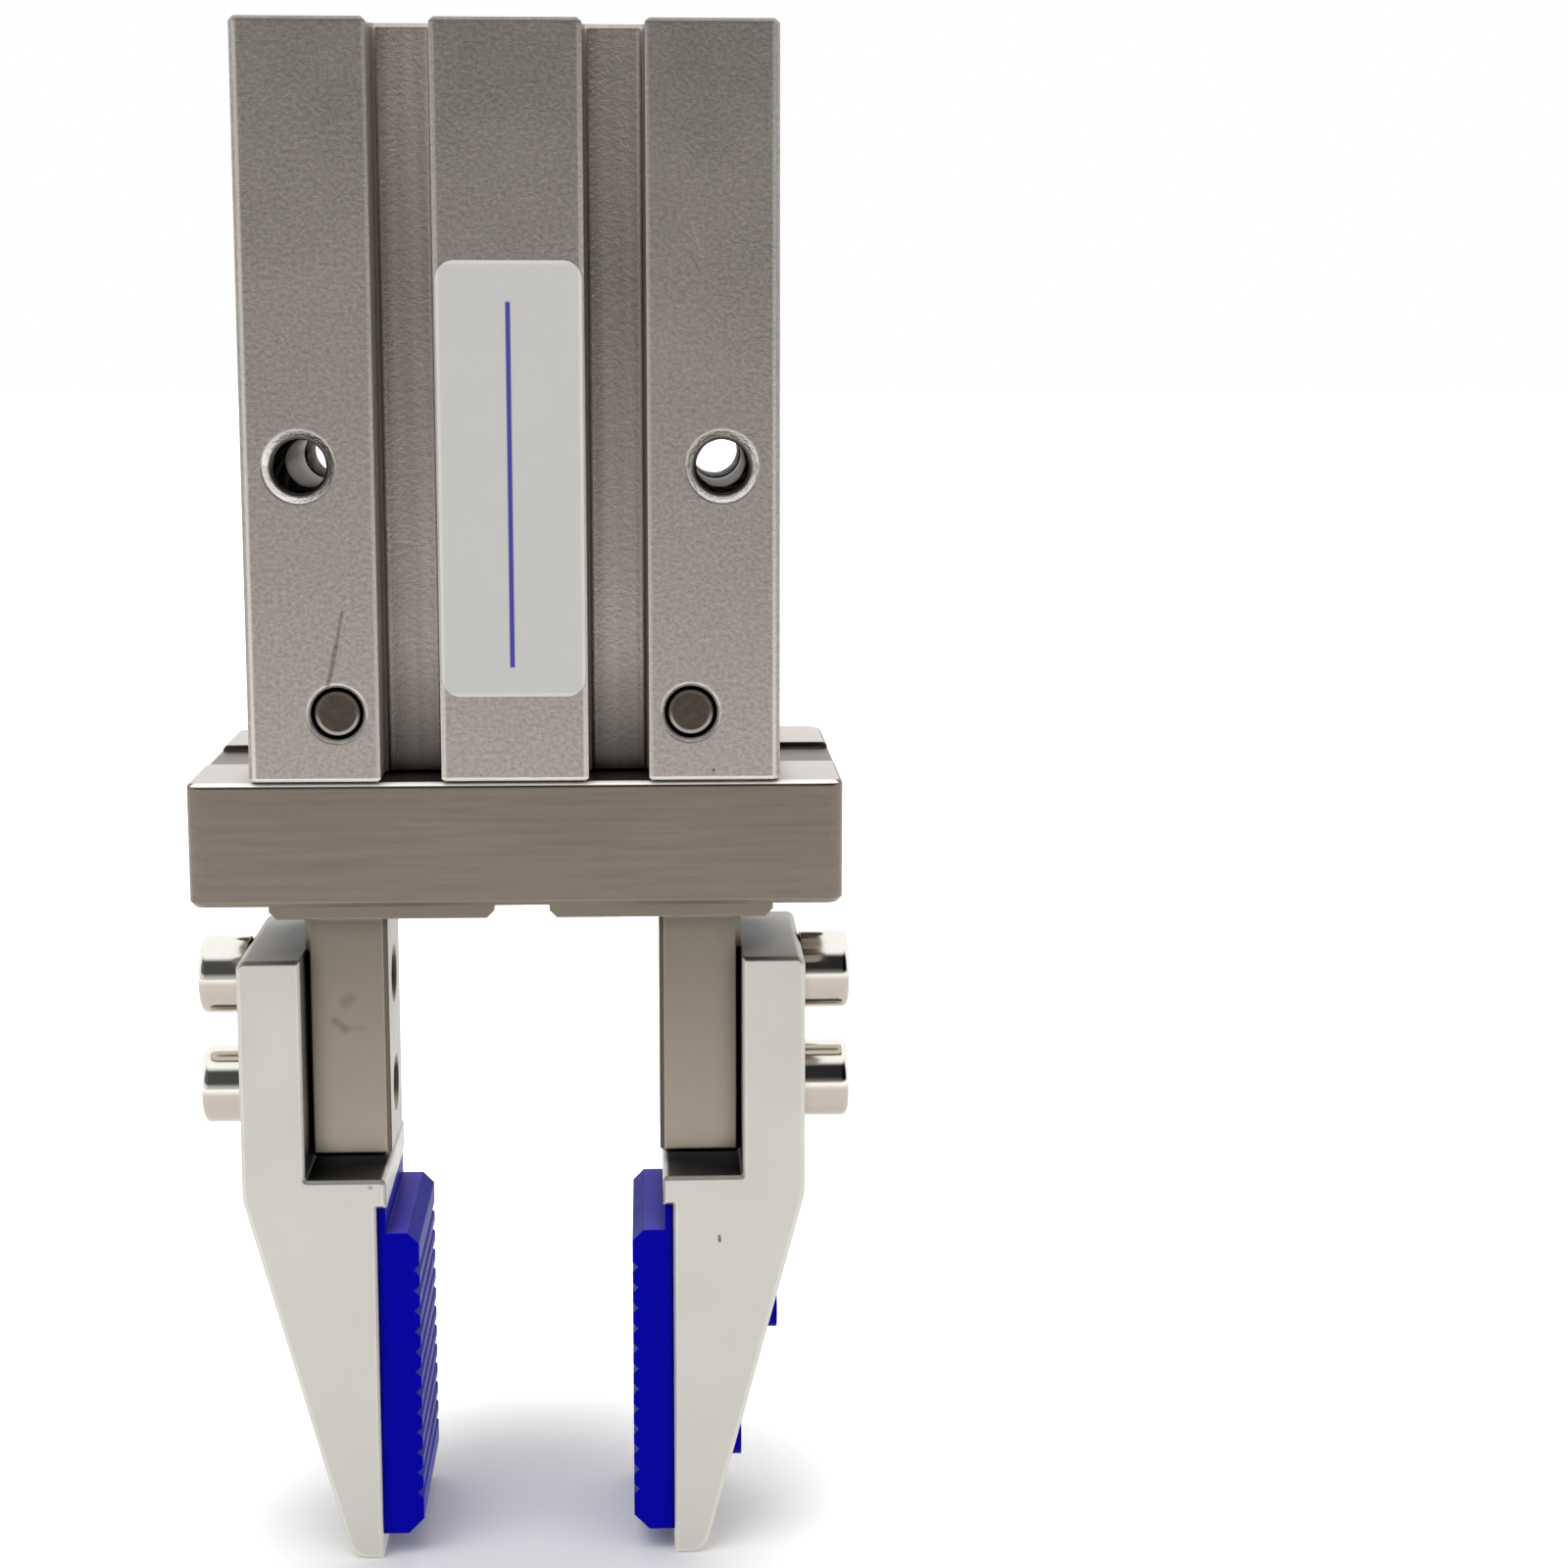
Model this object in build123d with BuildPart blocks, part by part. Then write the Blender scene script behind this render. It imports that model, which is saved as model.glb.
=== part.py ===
from build123d import *
import math
import os

# Two-finger parallel gripper driven by air, 16 mm bore, with jaw plates and serrated pads.
# Millimetres. Origin: centre of the rear mounting face. +Z points out of that face, so the fingers
# hang down. X is the finger travel, Y the depth. Positions are those of the fingers 0.8 mm open.

# Housing
body_width = 30.6
body_depth = 23.6
body_height = 43.0
body_edge_round = 0.5
body_end_chamfer = 0.25

# Sensor grooves, two on each wide face, with a flat bottom
groove_spacing = 11.96
groove_width = 3.5
groove_depth = 4.0
groove_corner_round = 0.5

# Tapped holes through the body, front to back
side_hole_spacing = 24.0
side_hole_level = 24.85
m4_hole_diameter = 3.3
side_hole_sink = 0.45
side_thread_depth = 7.0
side_clearance_diameter = 3.1

# Tapped holes in the rear face
rear_hole_spacing = 24.0
rear_hole_depth = 6.5

# Air ports in the right side
m5_hole_diameter = 4.2
port_depth = 5.0
rear_port_level = 10.2
front_port_level = 19.0
passage_diameter = 1.3
passage_inset = 0.7
passage_overrun = 0.4

# Locating recess in the rear face
locating_diameter = 17.0
locating_depth = 1.2

# Cylinder
bore_diameter = 16.0
ring_land = 0.6
ring_thickness = 1.0
ring_groove_diameter = 17.0
ring_width = 1.5
ring_gap_angle = 44.0
ring_ear_radius = 1.1
ring_ear_inset = 0.55
ring_ear_hole_diameter = 1.1
cap_thickness = 4.4
cap_clearance = 0.03
cap_dish_diameter = 9.0
cap_dish_depth = 0.8
cap_groove_width = 1.7
cap_groove_floor_diameter = 13.2
chamber_length = 17.3
bumper_thickness = 1.0
bumper_width = 2.6
bumper_rod_gap = 0.3
end_gap = 0.3
touch_gap = 0.05

# Piston and rod
piston_clearance = 0.1
piston_groove_width = 2.2
piston_groove_depth = 1.6
magnet_width = 3.0
magnet_depth = 1.8
groove_setback = 2.2
piston_dish_diameter = 8.0
piston_dish_depth = 3.0
piston_edge_chamfer = 0.6
rod_diameter = 6.0
running_clearance = 0.05
static_clearance = 0.02
spigot_diameter = 4.0
spigot_length = 2.6
seal_outer_diameter = 10.0
seal_height = 2.6
retainer_height = 0.9

# Rod joint
joint_width = 8.0
joint_depth = 7.6
joint_above = 5.2
joint_below = 2.3
joint_web = 2.0
joint_edge_round = 0.8
joint_pin_diameter = 1.6
joint_pin_drop = 1.3

# Levers
shaft_diameter = 3.0
shaft_spacing = 20.3
shaft_height = 4.05
shaft_recess = 0.35
shaft_end_chamfer = 0.2
shaft_mouth_sink = 0.22
lever_thickness = 5.0
lever_down = 8.0
lever_in = 7.65
lever_boss_radius = 2.7
lever_foot_radius = 1.6
lever_toe_radius = 1.3
foot_neck_radius = 1.1
foot_neck_distance = 2.8
toe_neck_radius = 0.9
toe_neck_distance = 2.4
lever_side_gap = 0.25
foot_pocket_gap = 0.3

# Pocket in the housing for joint and levers
pocket_height = 12.5
joint_pocket_diameter = 10.6
lever_pocket_height = 7.6
lever_pocket_length = 27.2
lever_pocket_round = 0.9

# Guide rail
rail_length = 38.0
rail_setback = 0.2
rail_height = 7.3
rail_corner_round = 1.0
rail_top_round = 0.35
rail_bottom_chamfer = 0.3
rail_web = 1.8
relief_width = 8.0
relief_depth = 0.35
channel_width = 12.1
window_length = 6.6

# Rail screws, M2.5 cap screws from the finger side
rail_screw_edge_x = 1.95
rail_screw_edge_y = 3.0
rail_screw_diameter = 2.5
rail_screw_head_diameter = 4.3
rail_screw_head_height = 2.4
rail_screw_sink = 2.6
rail_screw_play = 0.1
rail_screw_engagement = 5.0
rail_screw_socket = 2.0
socket_depth = 1.2

# Balls between rail and fingers
ball_diameter = 1.6
ball_track_height = 3.7
ball_pitch = 2.6
ball_count = 4
ball_start = 5.3
ball_stop_diameter = 1.4
ball_stop_length = 1.6
ball_stop_gap = 0.3

# Fingers
finger_gap_closed = 14.9
finger_stroke = 3.0
opened_at_rest = 0.8
finger_thickness = 5.0
finger_depth = 8.0
finger_reach = 17.2
carriage_length = 13.5
carriage_inner_overhang = 6.6
carriage_top_gap = 0.2
carriage_side_gap = 0.3
carriage_stand = 1.9
carriage_chamfer = 0.45
finger_root_round = 0.5
finger_edge_chamfer = 0.3
finger_hole_level = 6.5
finger_hole_spacing = 7.0
finger_screw_diameter = 3.0
finger_hole_sink = 0.35

# Jaw plates
plate_depth = 14.0
plate_leg = 3.8
plate_top_drop = 4.2
plate_length = 37.8
pocket_floor_gap = 0.6
plate_slant_angle = 15.0
plate_straight = 14.8
seat_setback = 0.75
lip_height = 1.8
lip_stand = 0.6
plate_outer_round = 3.0
plate_tip_round = 1.2
plate_inner_round = 0.5
ledge_corner_round = 0.15
lip_round = 0.35
plate_edge_chamfer = 0.2
slot_width = 3.2
slot_length = 14.6
slot_tip_distance = 2.2

# Screws that hold the jaw plates, M3
plate_screw_head_diameter = 4.8
plate_screw_head_height = 3.0
plate_screw_engagement = 4.4
plate_screw_socket = 2.5
plate_screw_hole_diameter = 3.2
head_edge_round = 0.4

# Pads
pad_thickness = 2.5
pad_depth = 13.0
pad_length = 19.3
pad_top_gap = 1.7
pad_tab_thickness = 0.5
pad_chamfer = 0.7
pad_tip_chamfer = 0.95
pad_edge_chamfer = 0.15
tooth_pitch = 1.3
tooth_depth = 0.35
tooth_count = 12
rib_clearance = 0.1
rib_drop = 0.8
peg_diameter = 2.6
peg_spacing = 8.5
peg_tip_distance = 5.0
peg_stand = 1.1
peg_edge_round = 0.3

# Levels along Z, counted down from the rear face
rail_top = -body_height
rail_bottom = rail_top - rail_height
finger_tip = rail_bottom - finger_reach
shaft_level = rail_top + shaft_height
ring_top = -locating_depth - ring_land
cap_top = ring_top - ring_thickness
cap_bottom = cap_top - cap_thickness
chamber_bottom = cap_bottom - chamber_length
pocket_top = rail_top + pocket_height
seal_top = pocket_top + retainer_height + seal_height
carriage_top = rail_top - rail_web - carriage_top_gap
carriage_bottom = rail_bottom - carriage_stand
ball_level = rail_bottom + ball_track_height

# The levers stand square at mid-stroke. At rest they are turned back from it.
mid_stroke = finger_stroke / 2 - opened_at_rest
rest_angle = math.asin(mid_stroke / lever_down)
slot_level = shaft_level + lever_in * math.sin(rest_angle)
slot_travel = lever_in * finger_stroke / 2 / lever_down
slot_lowest = shaft_level - slot_travel
shaft_x = shaft_spacing / 2

# Fingers and jaws across X, right-hand side
finger_inner = finger_gap_closed / 2 + opened_at_rest
finger_outer = finger_inner + finger_thickness
carriage_inner = finger_inner - carriage_inner_overhang
carriage_outer = carriage_inner + carriage_length
lever_slot_x = shaft_x - mid_stroke
plate_outer = finger_outer + plate_leg
seat_x = finger_inner + seat_setback
lip_x = seat_x - lip_stand
plate_top = rail_bottom - plate_top_drop
plate_bottom = plate_top - plate_length
ledge_level = finger_tip - pocket_floor_gap
lip_bottom = ledge_level - lip_height
slant_top = plate_top - plate_straight
slant_run = math.tan(math.radians(plate_slant_angle))
finger_holes = [rail_bottom - finger_hole_level - i * finger_hole_spacing for i in range(2)]
pad_top = lip_bottom - pad_top_gap
pad_bottom = pad_top - pad_length
pad_face = seat_x - pad_thickness
peg_levels = [plate_bottom + peg_tip_distance + i * peg_spacing for i in range(2)]

# Piston, from its stops: it meets the bumper with the fingers open
piston_bottom_open = chamber_bottom + bumper_thickness + touch_gap
piston_bottom = piston_bottom_open + slot_level - slot_lowest
piston_length = cap_bottom - end_gap - (piston_bottom_open + 2 * slot_travel)
piston_top = piston_bottom + piston_length
piston_radius = bore_diameter / 2 - piston_clearance
joint_top = slot_level + joint_above

# Seats and rows that follow from the sizes above
rail_depth = body_depth - 2 * rail_setback
rail_screw_spacing_x = body_width - 2 * rail_screw_edge_x
rail_screw_spacing_y = body_depth - 2 * rail_screw_edge_y
shaft_hole_radius = shaft_diameter / 2 + static_clearance
lever_pocket_width = lever_thickness + 2 * lever_side_gap
carriage_width = channel_width - 2 * carriage_side_gap
ball_track_y = (channel_width + carriage_width) / 4
foot_pocket_floor = shaft_level - lever_down - lever_foot_radius - foot_pocket_gap
cap_groove_middle = (cap_top + cap_bottom) / 2
ring_inner_radius = ring_groove_diameter / 2 - running_clearance - ring_width
ring_ear_distance = ring_inner_radius + ring_width / 2 - ring_ear_inset
bumper_inner_radius = rod_diameter / 2 + bumper_rod_gap
seal_groove_low = piston_bottom + groove_setback
magnet_low = piston_top - groove_setback - magnet_width
joint_pin_level = joint_top - joint_pin_drop
joint_slot_length = joint_width / 2 - joint_web / 2
joint_slot_middle = joint_web / 2 + joint_slot_length / 2
slot_middle = plate_bottom + slot_tip_distance + slot_length / 2
tooth_side = math.sqrt(2) * tooth_depth
teeth_middle = (pad_top - pad_chamfer + pad_bottom + pad_tip_chamfer) / 2
ball_row = [ball_start + i * ball_pitch for i in range(ball_count)]
stop_reach = ball_diameter / 2 + ball_stop_gap + ball_stop_diameter / 2
ball_places = [sign * x for sign in (-1, 1) for x in ball_row]
ball_stop_places = [sign * x for sign in (-1, 1)
                    for x in (ball_row[0] - stop_reach, ball_row[-1] + stop_reach)]

# Cylinders that stand on a plane, or hang from it
standing = (Align.CENTER, Align.CENTER, Align.MIN)
hanging = (Align.CENTER, Align.CENTER, Align.MAX)


def both(spacing):
    return (-spacing / 2, spacing / 2)


def corners(spacing_x, spacing_y):
    return [(x, y) for x in both(spacing_x) for y in both(spacing_y)]


def level(z):
    return Plane.XY.offset(z)


def side_stop(x, side):
    # Plane on the channel wall at +Y (side 1) or -Y (side -1), facing into the wall
    return Plane(origin=(x, side * channel_width / 2, ball_level), z_dir=(0, side, 0))


def nearest(sketch, x, z):
    # Corner of a profile drawn in the XZ plane that lies nearest to x and z
    return sketch.vertices().sort_by_distance((x, z, 0))[0]


def side_plane(x, z, sign=1):
    # Plane square to X through (x, 0, z), facing along sign times X
    return Plane(origin=(x, 0, z), x_dir=(0, 1, 0), z_dir=(sign, 0, 0))


def wide_face(x, z, facing):
    # Plane on the front (facing -1) or back (facing 1) of the housing, centred on x and z
    return Plane(origin=(x, facing * body_depth / 2, z), x_dir=(1, 0, 0), z_dir=(0, facing, 0))


def slant_x(z):
    # Outer surface of the right-hand jaw plate's slanted back at level z
    return plate_outer - (slant_top - z) * slant_run


def ring_section(inner, outer, low, high):
    # Rectangle in the XZ plane between two radii and two levels, to be turned about Z
    with Locations(((inner + outer) / 2, (low + high) / 2)):
        Rectangle(outer - inner, high - low)


rail_screw_places = corners(rail_screw_spacing_x, rail_screw_spacing_y)

# Housing: grooved block, stepped bore, pocket for the levers, tapped holes and ports
with BuildPart() as body:
    with BuildSketch():
        RectangleRounded(body_width, body_depth, body_edge_round)
        with Locations(*corners(groove_spacing, body_depth)):
            RectangleRounded(groove_width, 2 * groove_depth, groove_corner_round, mode=Mode.SUBTRACT)
    extrude(amount=-body_height)
    body_rims = body.edges().group_by(Axis.Z)
    chamfer(body_rims[-1] + body_rims[0], body_end_chamfer)
    with BuildSketch():
        Circle(bore_diameter / 2)
    extrude(amount=chamber_bottom, mode=Mode.SUBTRACT)
    with BuildSketch():
        Circle(locating_diameter / 2)
    extrude(amount=-locating_depth, mode=Mode.SUBTRACT)
    with BuildSketch(level(ring_top)):
        Circle(ring_groove_diameter / 2)
    extrude(amount=-ring_thickness, mode=Mode.SUBTRACT)
    with BuildSketch(level(chamber_bottom)):
        Circle(rod_diameter / 2 + running_clearance)
    extrude(amount=pocket_top - chamber_bottom, mode=Mode.SUBTRACT)
    with BuildSketch(level(seal_top)):
        Circle(seal_outer_diameter / 2)
    extrude(amount=pocket_top - seal_top, mode=Mode.SUBTRACT)
    with BuildSketch(level(pocket_top)):
        Circle(joint_pocket_diameter / 2)
    extrude(amount=-pocket_height, mode=Mode.SUBTRACT)
    with BuildSketch(level(rail_top)):
        RectangleRounded(lever_pocket_length, lever_pocket_width, lever_pocket_round)
    extrude(amount=lever_pocket_height, mode=Mode.SUBTRACT)
    # Two through holes, tapped from both wide faces
    with Locations(*[wide_face(x, -side_hole_level, -1) for x in both(side_hole_spacing)]):
        Hole(side_clearance_diameter / 2, body_depth)
    with Locations(*[wide_face(x, -side_hole_level, f) for x in both(side_hole_spacing) for f in (-1, 1)]):
        CounterSinkHole(m4_hole_diameter / 2, m4_hole_diameter / 2 + side_hole_sink, side_thread_depth, 90)
    # Through holes for the lever shafts
    with Locations(*[wide_face(x, shaft_level, f) for x in both(shaft_spacing) for f in (-1, 1)]):
        CounterSinkHole(shaft_hole_radius, shaft_hole_radius + shaft_mouth_sink, body_depth / 2, 90)
    with Locations(*[(x, 0, 0) for x in both(rear_hole_spacing)]):
        CounterSinkHole(m4_hole_diameter / 2, m4_hole_diameter / 2 + side_hole_sink, rear_hole_depth, 90)
    with Locations(*[Plane(origin=(x, y, rail_top), z_dir=(0, 0, -1)) for x, y in rail_screw_places]):
        Hole(rail_screw_diameter / 2 + static_clearance, rail_screw_engagement + socket_depth)
    # Air ports, each with a slanting passage to its end of the chamber
    with Locations(*[side_plane(body_width / 2, z) for z in (-rear_port_level, -front_port_level)]):
        CounterSinkHole(m5_hole_diameter / 2, m5_hole_diameter / 2 + side_hole_sink, port_depth, 90)
    for port_level, end_level in ((-rear_port_level, cap_bottom - passage_inset),
                                  (-front_port_level, chamber_bottom + passage_inset)):
        start = Vector(body_width / 2 - port_depth + passage_overrun, 0, port_level)
        end = Vector(bore_diameter / 2 - passage_overrun, 0, end_level)
        with BuildSketch(Plane(origin=start, z_dir=end - start)):
            Circle(passage_diameter / 2)
        extrude(amount=(end - start).length, mode=Mode.SUBTRACT)

# Cap that closes the rear end of the bore, with a groove for its seal
with BuildPart() as rear_cap:
    with BuildSketch(level(cap_top)):
        Circle(bore_diameter / 2 - cap_clearance)
    extrude(amount=-cap_thickness)
    with BuildSketch(Plane.XZ):
        ring_section(cap_groove_floor_diameter / 2, bore_diameter / 2,
                     cap_groove_middle - cap_groove_width / 2, cap_groove_middle + cap_groove_width / 2)
    revolve(axis=Axis.Z, mode=Mode.SUBTRACT)
    with BuildSketch(level(cap_top)):
        Circle(cap_dish_diameter / 2)
    extrude(amount=-cap_dish_depth, mode=Mode.SUBTRACT)
    chamfer(rear_cap.edges().group_by(Axis.Z)[-1], body_end_chamfer)

with BuildPart() as cap_seal:
    with BuildSketch(Plane.XZ):
        ring_section(cap_groove_floor_diameter / 2 + static_clearance, bore_diameter / 2 - static_clearance,
                     cap_groove_middle - cap_groove_width / 2 + static_clearance,
                     cap_groove_middle + cap_groove_width / 2 - static_clearance)
    revolve(axis=Axis.Z)

# Retaining ring: open ring with an eared end on each side of its gap
with BuildPart() as retaining_ring:
    with BuildSketch(level(ring_top)):
        Circle(ring_groove_diameter / 2 - running_clearance)
        Circle(ring_inner_radius, mode=Mode.SUBTRACT)
        with BuildLine():
            gap_angles = (-90 - ring_gap_angle / 2, -90 + ring_gap_angle / 2)
            gap_reach = [Vector(bore_diameter, 0).rotate(Axis.Z, angle) for angle in gap_angles]
            Polyline((0, 0), *gap_reach, close=True)
        make_face(mode=Mode.SUBTRACT)
        with PolarLocations(ring_ear_distance, 2, -90 - ring_gap_angle / 2, ring_gap_angle, endpoint=True):
            Circle(ring_ear_radius)
            Circle(ring_ear_hole_diameter / 2, mode=Mode.SUBTRACT)
    extrude(amount=-ring_thickness)

# Rubber ring on the floor of the chamber that the piston stops on
with BuildPart() as bumper:
    with BuildSketch(Plane.XZ):
        ring_section(bumper_inner_radius, bumper_inner_radius + bumper_width, chamber_bottom,
                     chamber_bottom + bumper_thickness)
    revolve(axis=Axis.Z)
    chamfer(bumper.edges().group_by(Axis.Z)[-1], body_end_chamfer)

with BuildPart() as rod_seal:
    with BuildSketch(Plane.XZ):
        ring_section(rod_diameter / 2 + running_clearance, seal_outer_diameter / 2 - static_clearance,
                     seal_top - seal_height, seal_top)
    revolve(axis=Axis.Z)

with BuildPart() as seal_retainer:
    with BuildSketch(Plane.XZ):
        ring_section(bumper_inner_radius, seal_outer_diameter / 2 - static_clearance, pocket_top,
                     pocket_top + retainer_height)
    revolve(axis=Axis.Z)

# Piston and rod in one piece, turned: grooves for seal and magnet, dished rear face, spigot for the joint
with BuildPart() as piston:
    with BuildSketch(level(piston_bottom)):
        Circle(piston_radius)
    extrude(amount=piston_length)
    chamfer(piston.edges().group_by(Axis.Z)[-1], piston_edge_chamfer)
    with BuildSketch(Plane.XZ):
        ring_section(piston_radius - piston_groove_depth, bore_diameter / 2, seal_groove_low,
                     seal_groove_low + piston_groove_width)
        ring_section(piston_radius - magnet_depth, bore_diameter / 2, magnet_low, magnet_low + magnet_width)
    revolve(axis=Axis.Z, mode=Mode.SUBTRACT)
    with BuildSketch(level(piston_top)):
        Circle(piston_dish_diameter / 2)
    extrude(amount=-piston_dish_depth, mode=Mode.SUBTRACT)
    with BuildSketch(level(piston_bottom)):
        Circle(rod_diameter / 2)
    extrude(amount=joint_top - piston_bottom)
    with BuildSketch(level(joint_top)):
        Circle(spigot_diameter / 2)
    extrude(amount=-spigot_length)
    chamfer(piston.edges().group_by(Axis.Z)[0], body_end_chamfer)
    with Locations(Plane(origin=(0, -spigot_diameter, joint_pin_level), x_dir=(1, 0, 0), z_dir=(0, -1, 0))):
        Hole(joint_pin_diameter / 2 + static_clearance, 2 * spigot_diameter)

with BuildPart() as piston_seal:
    with BuildSketch(Plane.XZ):
        ring_section(piston_radius - piston_groove_depth + static_clearance,
                     bore_diameter / 2 - running_clearance, seal_groove_low + static_clearance,
                     seal_groove_low + piston_groove_width - static_clearance)
    revolve(axis=Axis.Z)

with BuildPart() as magnet:
    with BuildSketch(Plane.XZ):
        ring_section(piston_radius - magnet_depth + static_clearance, piston_radius - static_clearance,
                     magnet_low + static_clearance, magnet_low + magnet_width - static_clearance)
    revolve(axis=Axis.Z)

# Block on the rod's end, with a slot on each side that the levers' toes reach into
with BuildPart() as rod_joint:
    with BuildSketch(level(joint_top)):
        RectangleRounded(joint_width, joint_depth, joint_edge_round)
    extrude(amount=-joint_above - joint_below)
    joint_rims = rod_joint.edges().group_by(Axis.Z)
    chamfer(joint_rims[-1] + joint_rims[0], body_end_chamfer)
    with BuildSketch(Plane.XZ):
        with Locations((-joint_slot_middle, slot_level), (joint_slot_middle, slot_level)):
            Rectangle(joint_slot_length, 2 * (lever_toe_radius + running_clearance))
    extrude(amount=joint_depth, both=True, mode=Mode.SUBTRACT)
    with BuildSketch(level(joint_top)):
        Circle(spigot_diameter / 2 + static_clearance)
    extrude(amount=-spigot_length, mode=Mode.SUBTRACT)
    with Locations(Plane(origin=(0, -joint_depth, joint_pin_level), x_dir=(1, 0, 0), z_dir=(0, -1, 0))):
        Hole(joint_pin_diameter / 2 + static_clearance, 2 * joint_depth)

with BuildPart() as joint_pin:
    with BuildSketch(Plane.XZ):
        with Locations((0, joint_pin_level)):
            Circle(joint_pin_diameter / 2)
    extrude(amount=joint_depth / 2 - running_clearance, both=True)

# Bell crank: a bored boss, a foot that hangs into the finger and a toe that reaches into the joint
with BuildPart() as right_lever:
    along_toe = (math.cos(rest_angle), 0, -math.sin(rest_angle))
    crank_plane = Plane(origin=(shaft_x, 0, shaft_level), x_dir=along_toe, z_dir=(0, -1, 0))
    with BuildSketch(crank_plane) as foot_limb:
        Circle(lever_boss_radius)
        with Locations((0, foot_neck_distance - lever_down)):
            Circle(foot_neck_radius)
        make_hull()
    with BuildSketch(crank_plane) as foot_end:
        with Locations((0, foot_neck_distance - lever_down)):
            Circle(foot_neck_radius)
        with Locations((0, -lever_down)):
            Circle(lever_foot_radius)
        make_hull()
    with BuildSketch(crank_plane) as toe_limb:
        Circle(lever_boss_radius)
        with Locations((toe_neck_distance - lever_in, 0)):
            Circle(toe_neck_radius)
        make_hull()
    with BuildSketch(crank_plane) as toe_end:
        with Locations((toe_neck_distance - lever_in, 0)):
            Circle(toe_neck_radius)
        with Locations((-lever_in, 0)):
            Circle(lever_toe_radius)
        make_hull()
    extrude(amount=lever_thickness / 2, both=True)
    with BuildSketch(crank_plane):
        Circle(shaft_diameter / 2 + running_clearance)
    extrude(amount=lever_thickness, both=True, mode=Mode.SUBTRACT)

with BuildPart() as left_lever:
    mirror(right_lever.part, about=Plane.YZ)

with BuildPart() as right_lever_shaft:
    with BuildSketch(Plane.XZ):
        with Locations((shaft_x, shaft_level)):
            Circle(shaft_diameter / 2)
    extrude(amount=body_depth / 2 - shaft_recess, both=True)
    chamfer(right_lever_shaft.edges().filter_by(GeomType.CIRCLE), shaft_end_chamfer)

with BuildPart() as left_lever_shaft:
    mirror(right_lever_shaft.part, about=Plane.YZ)

# Guide rail: channel for the carriages with a ball track in each wall, windows for the levers' feet
with BuildPart() as rail:
    with BuildSketch(level(rail_top)):
        RectangleRounded(rail_length, rail_depth, rail_corner_round)
    extrude(amount=-rail_height)
    fillet(rail.edges().group_by(Axis.Z)[-1], rail_top_round)
    chamfer(rail.edges().group_by(Axis.Z)[0], rail_bottom_chamfer)
    with BuildSketch(Plane.YZ):
        with Locations((0, rail_top)):
            Rectangle(relief_width, 2 * relief_depth)
        with Locations((0, rail_bottom)):
            Rectangle(channel_width, 2 * (rail_height - rail_web))
        with Locations((-ball_track_y, ball_level), (ball_track_y, ball_level)):
            Circle(ball_diameter / 2 + static_clearance)
    extrude(amount=rail_length, both=True, mode=Mode.SUBTRACT)
    with BuildSketch(level(rail_top)):
        with Locations((-shaft_x, 0), (shaft_x, 0)):
            RectangleRounded(window_length, lever_pocket_width, lever_pocket_round)
    extrude(amount=-rail_height, mode=Mode.SUBTRACT)
    with Locations(*[Plane(origin=(x, y, rail_bottom), z_dir=(0, 0, -1)) for x, y in rail_screw_places]):
        CounterBoreHole(rail_screw_diameter / 2 + rail_screw_play,
                        rail_screw_head_diameter / 2 + rail_screw_play, rail_screw_sink, rail_height)
    with Locations(*[side_stop(x, side) for x in ball_stop_places for side in (-1, 1)]):
        Cylinder(ball_stop_diameter / 2 + static_clearance, ball_stop_length + static_clearance,
                 align=standing, mode=Mode.SUBTRACT)

# Pins across the ends of the ball rows
with BuildPart() as ball_stops:
    with Locations(*[side_stop(x, side) for x in ball_stop_places for side in (-1, 1)]):
        Cylinder(ball_stop_diameter / 2, ball_stop_length, align=standing)

with BuildPart() as steel_balls:
    with Locations(*[(x, y, ball_level) for x in ball_places for y in (-ball_track_y, ball_track_y)]):
        Sphere(ball_diameter / 2)

# Cap screws that hold the rail
with BuildPart() as rail_screws:
    with Locations(*[Plane(origin=(x, y, rail_bottom + rail_screw_sink), z_dir=(0, 0, -1))
                     for x, y in rail_screw_places]):
        Cylinder(rail_screw_head_diameter / 2, rail_screw_head_height, align=standing)
        Cylinder(rail_screw_diameter / 2, rail_height - rail_screw_sink + rail_screw_engagement,
                 align=hanging)
    chamfer(rail_screws.edges().group_by(Axis.Z)[0], rail_bottom_chamfer)
    with BuildSketch(level(rail_bottom + rail_screw_sink - rail_screw_head_height)):
        with Locations(*rail_screw_places):
            RegularPolygon(rail_screw_socket / 2, 6, major_radius=False)
    extrude(amount=socket_depth, mode=Mode.SUBTRACT)

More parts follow.
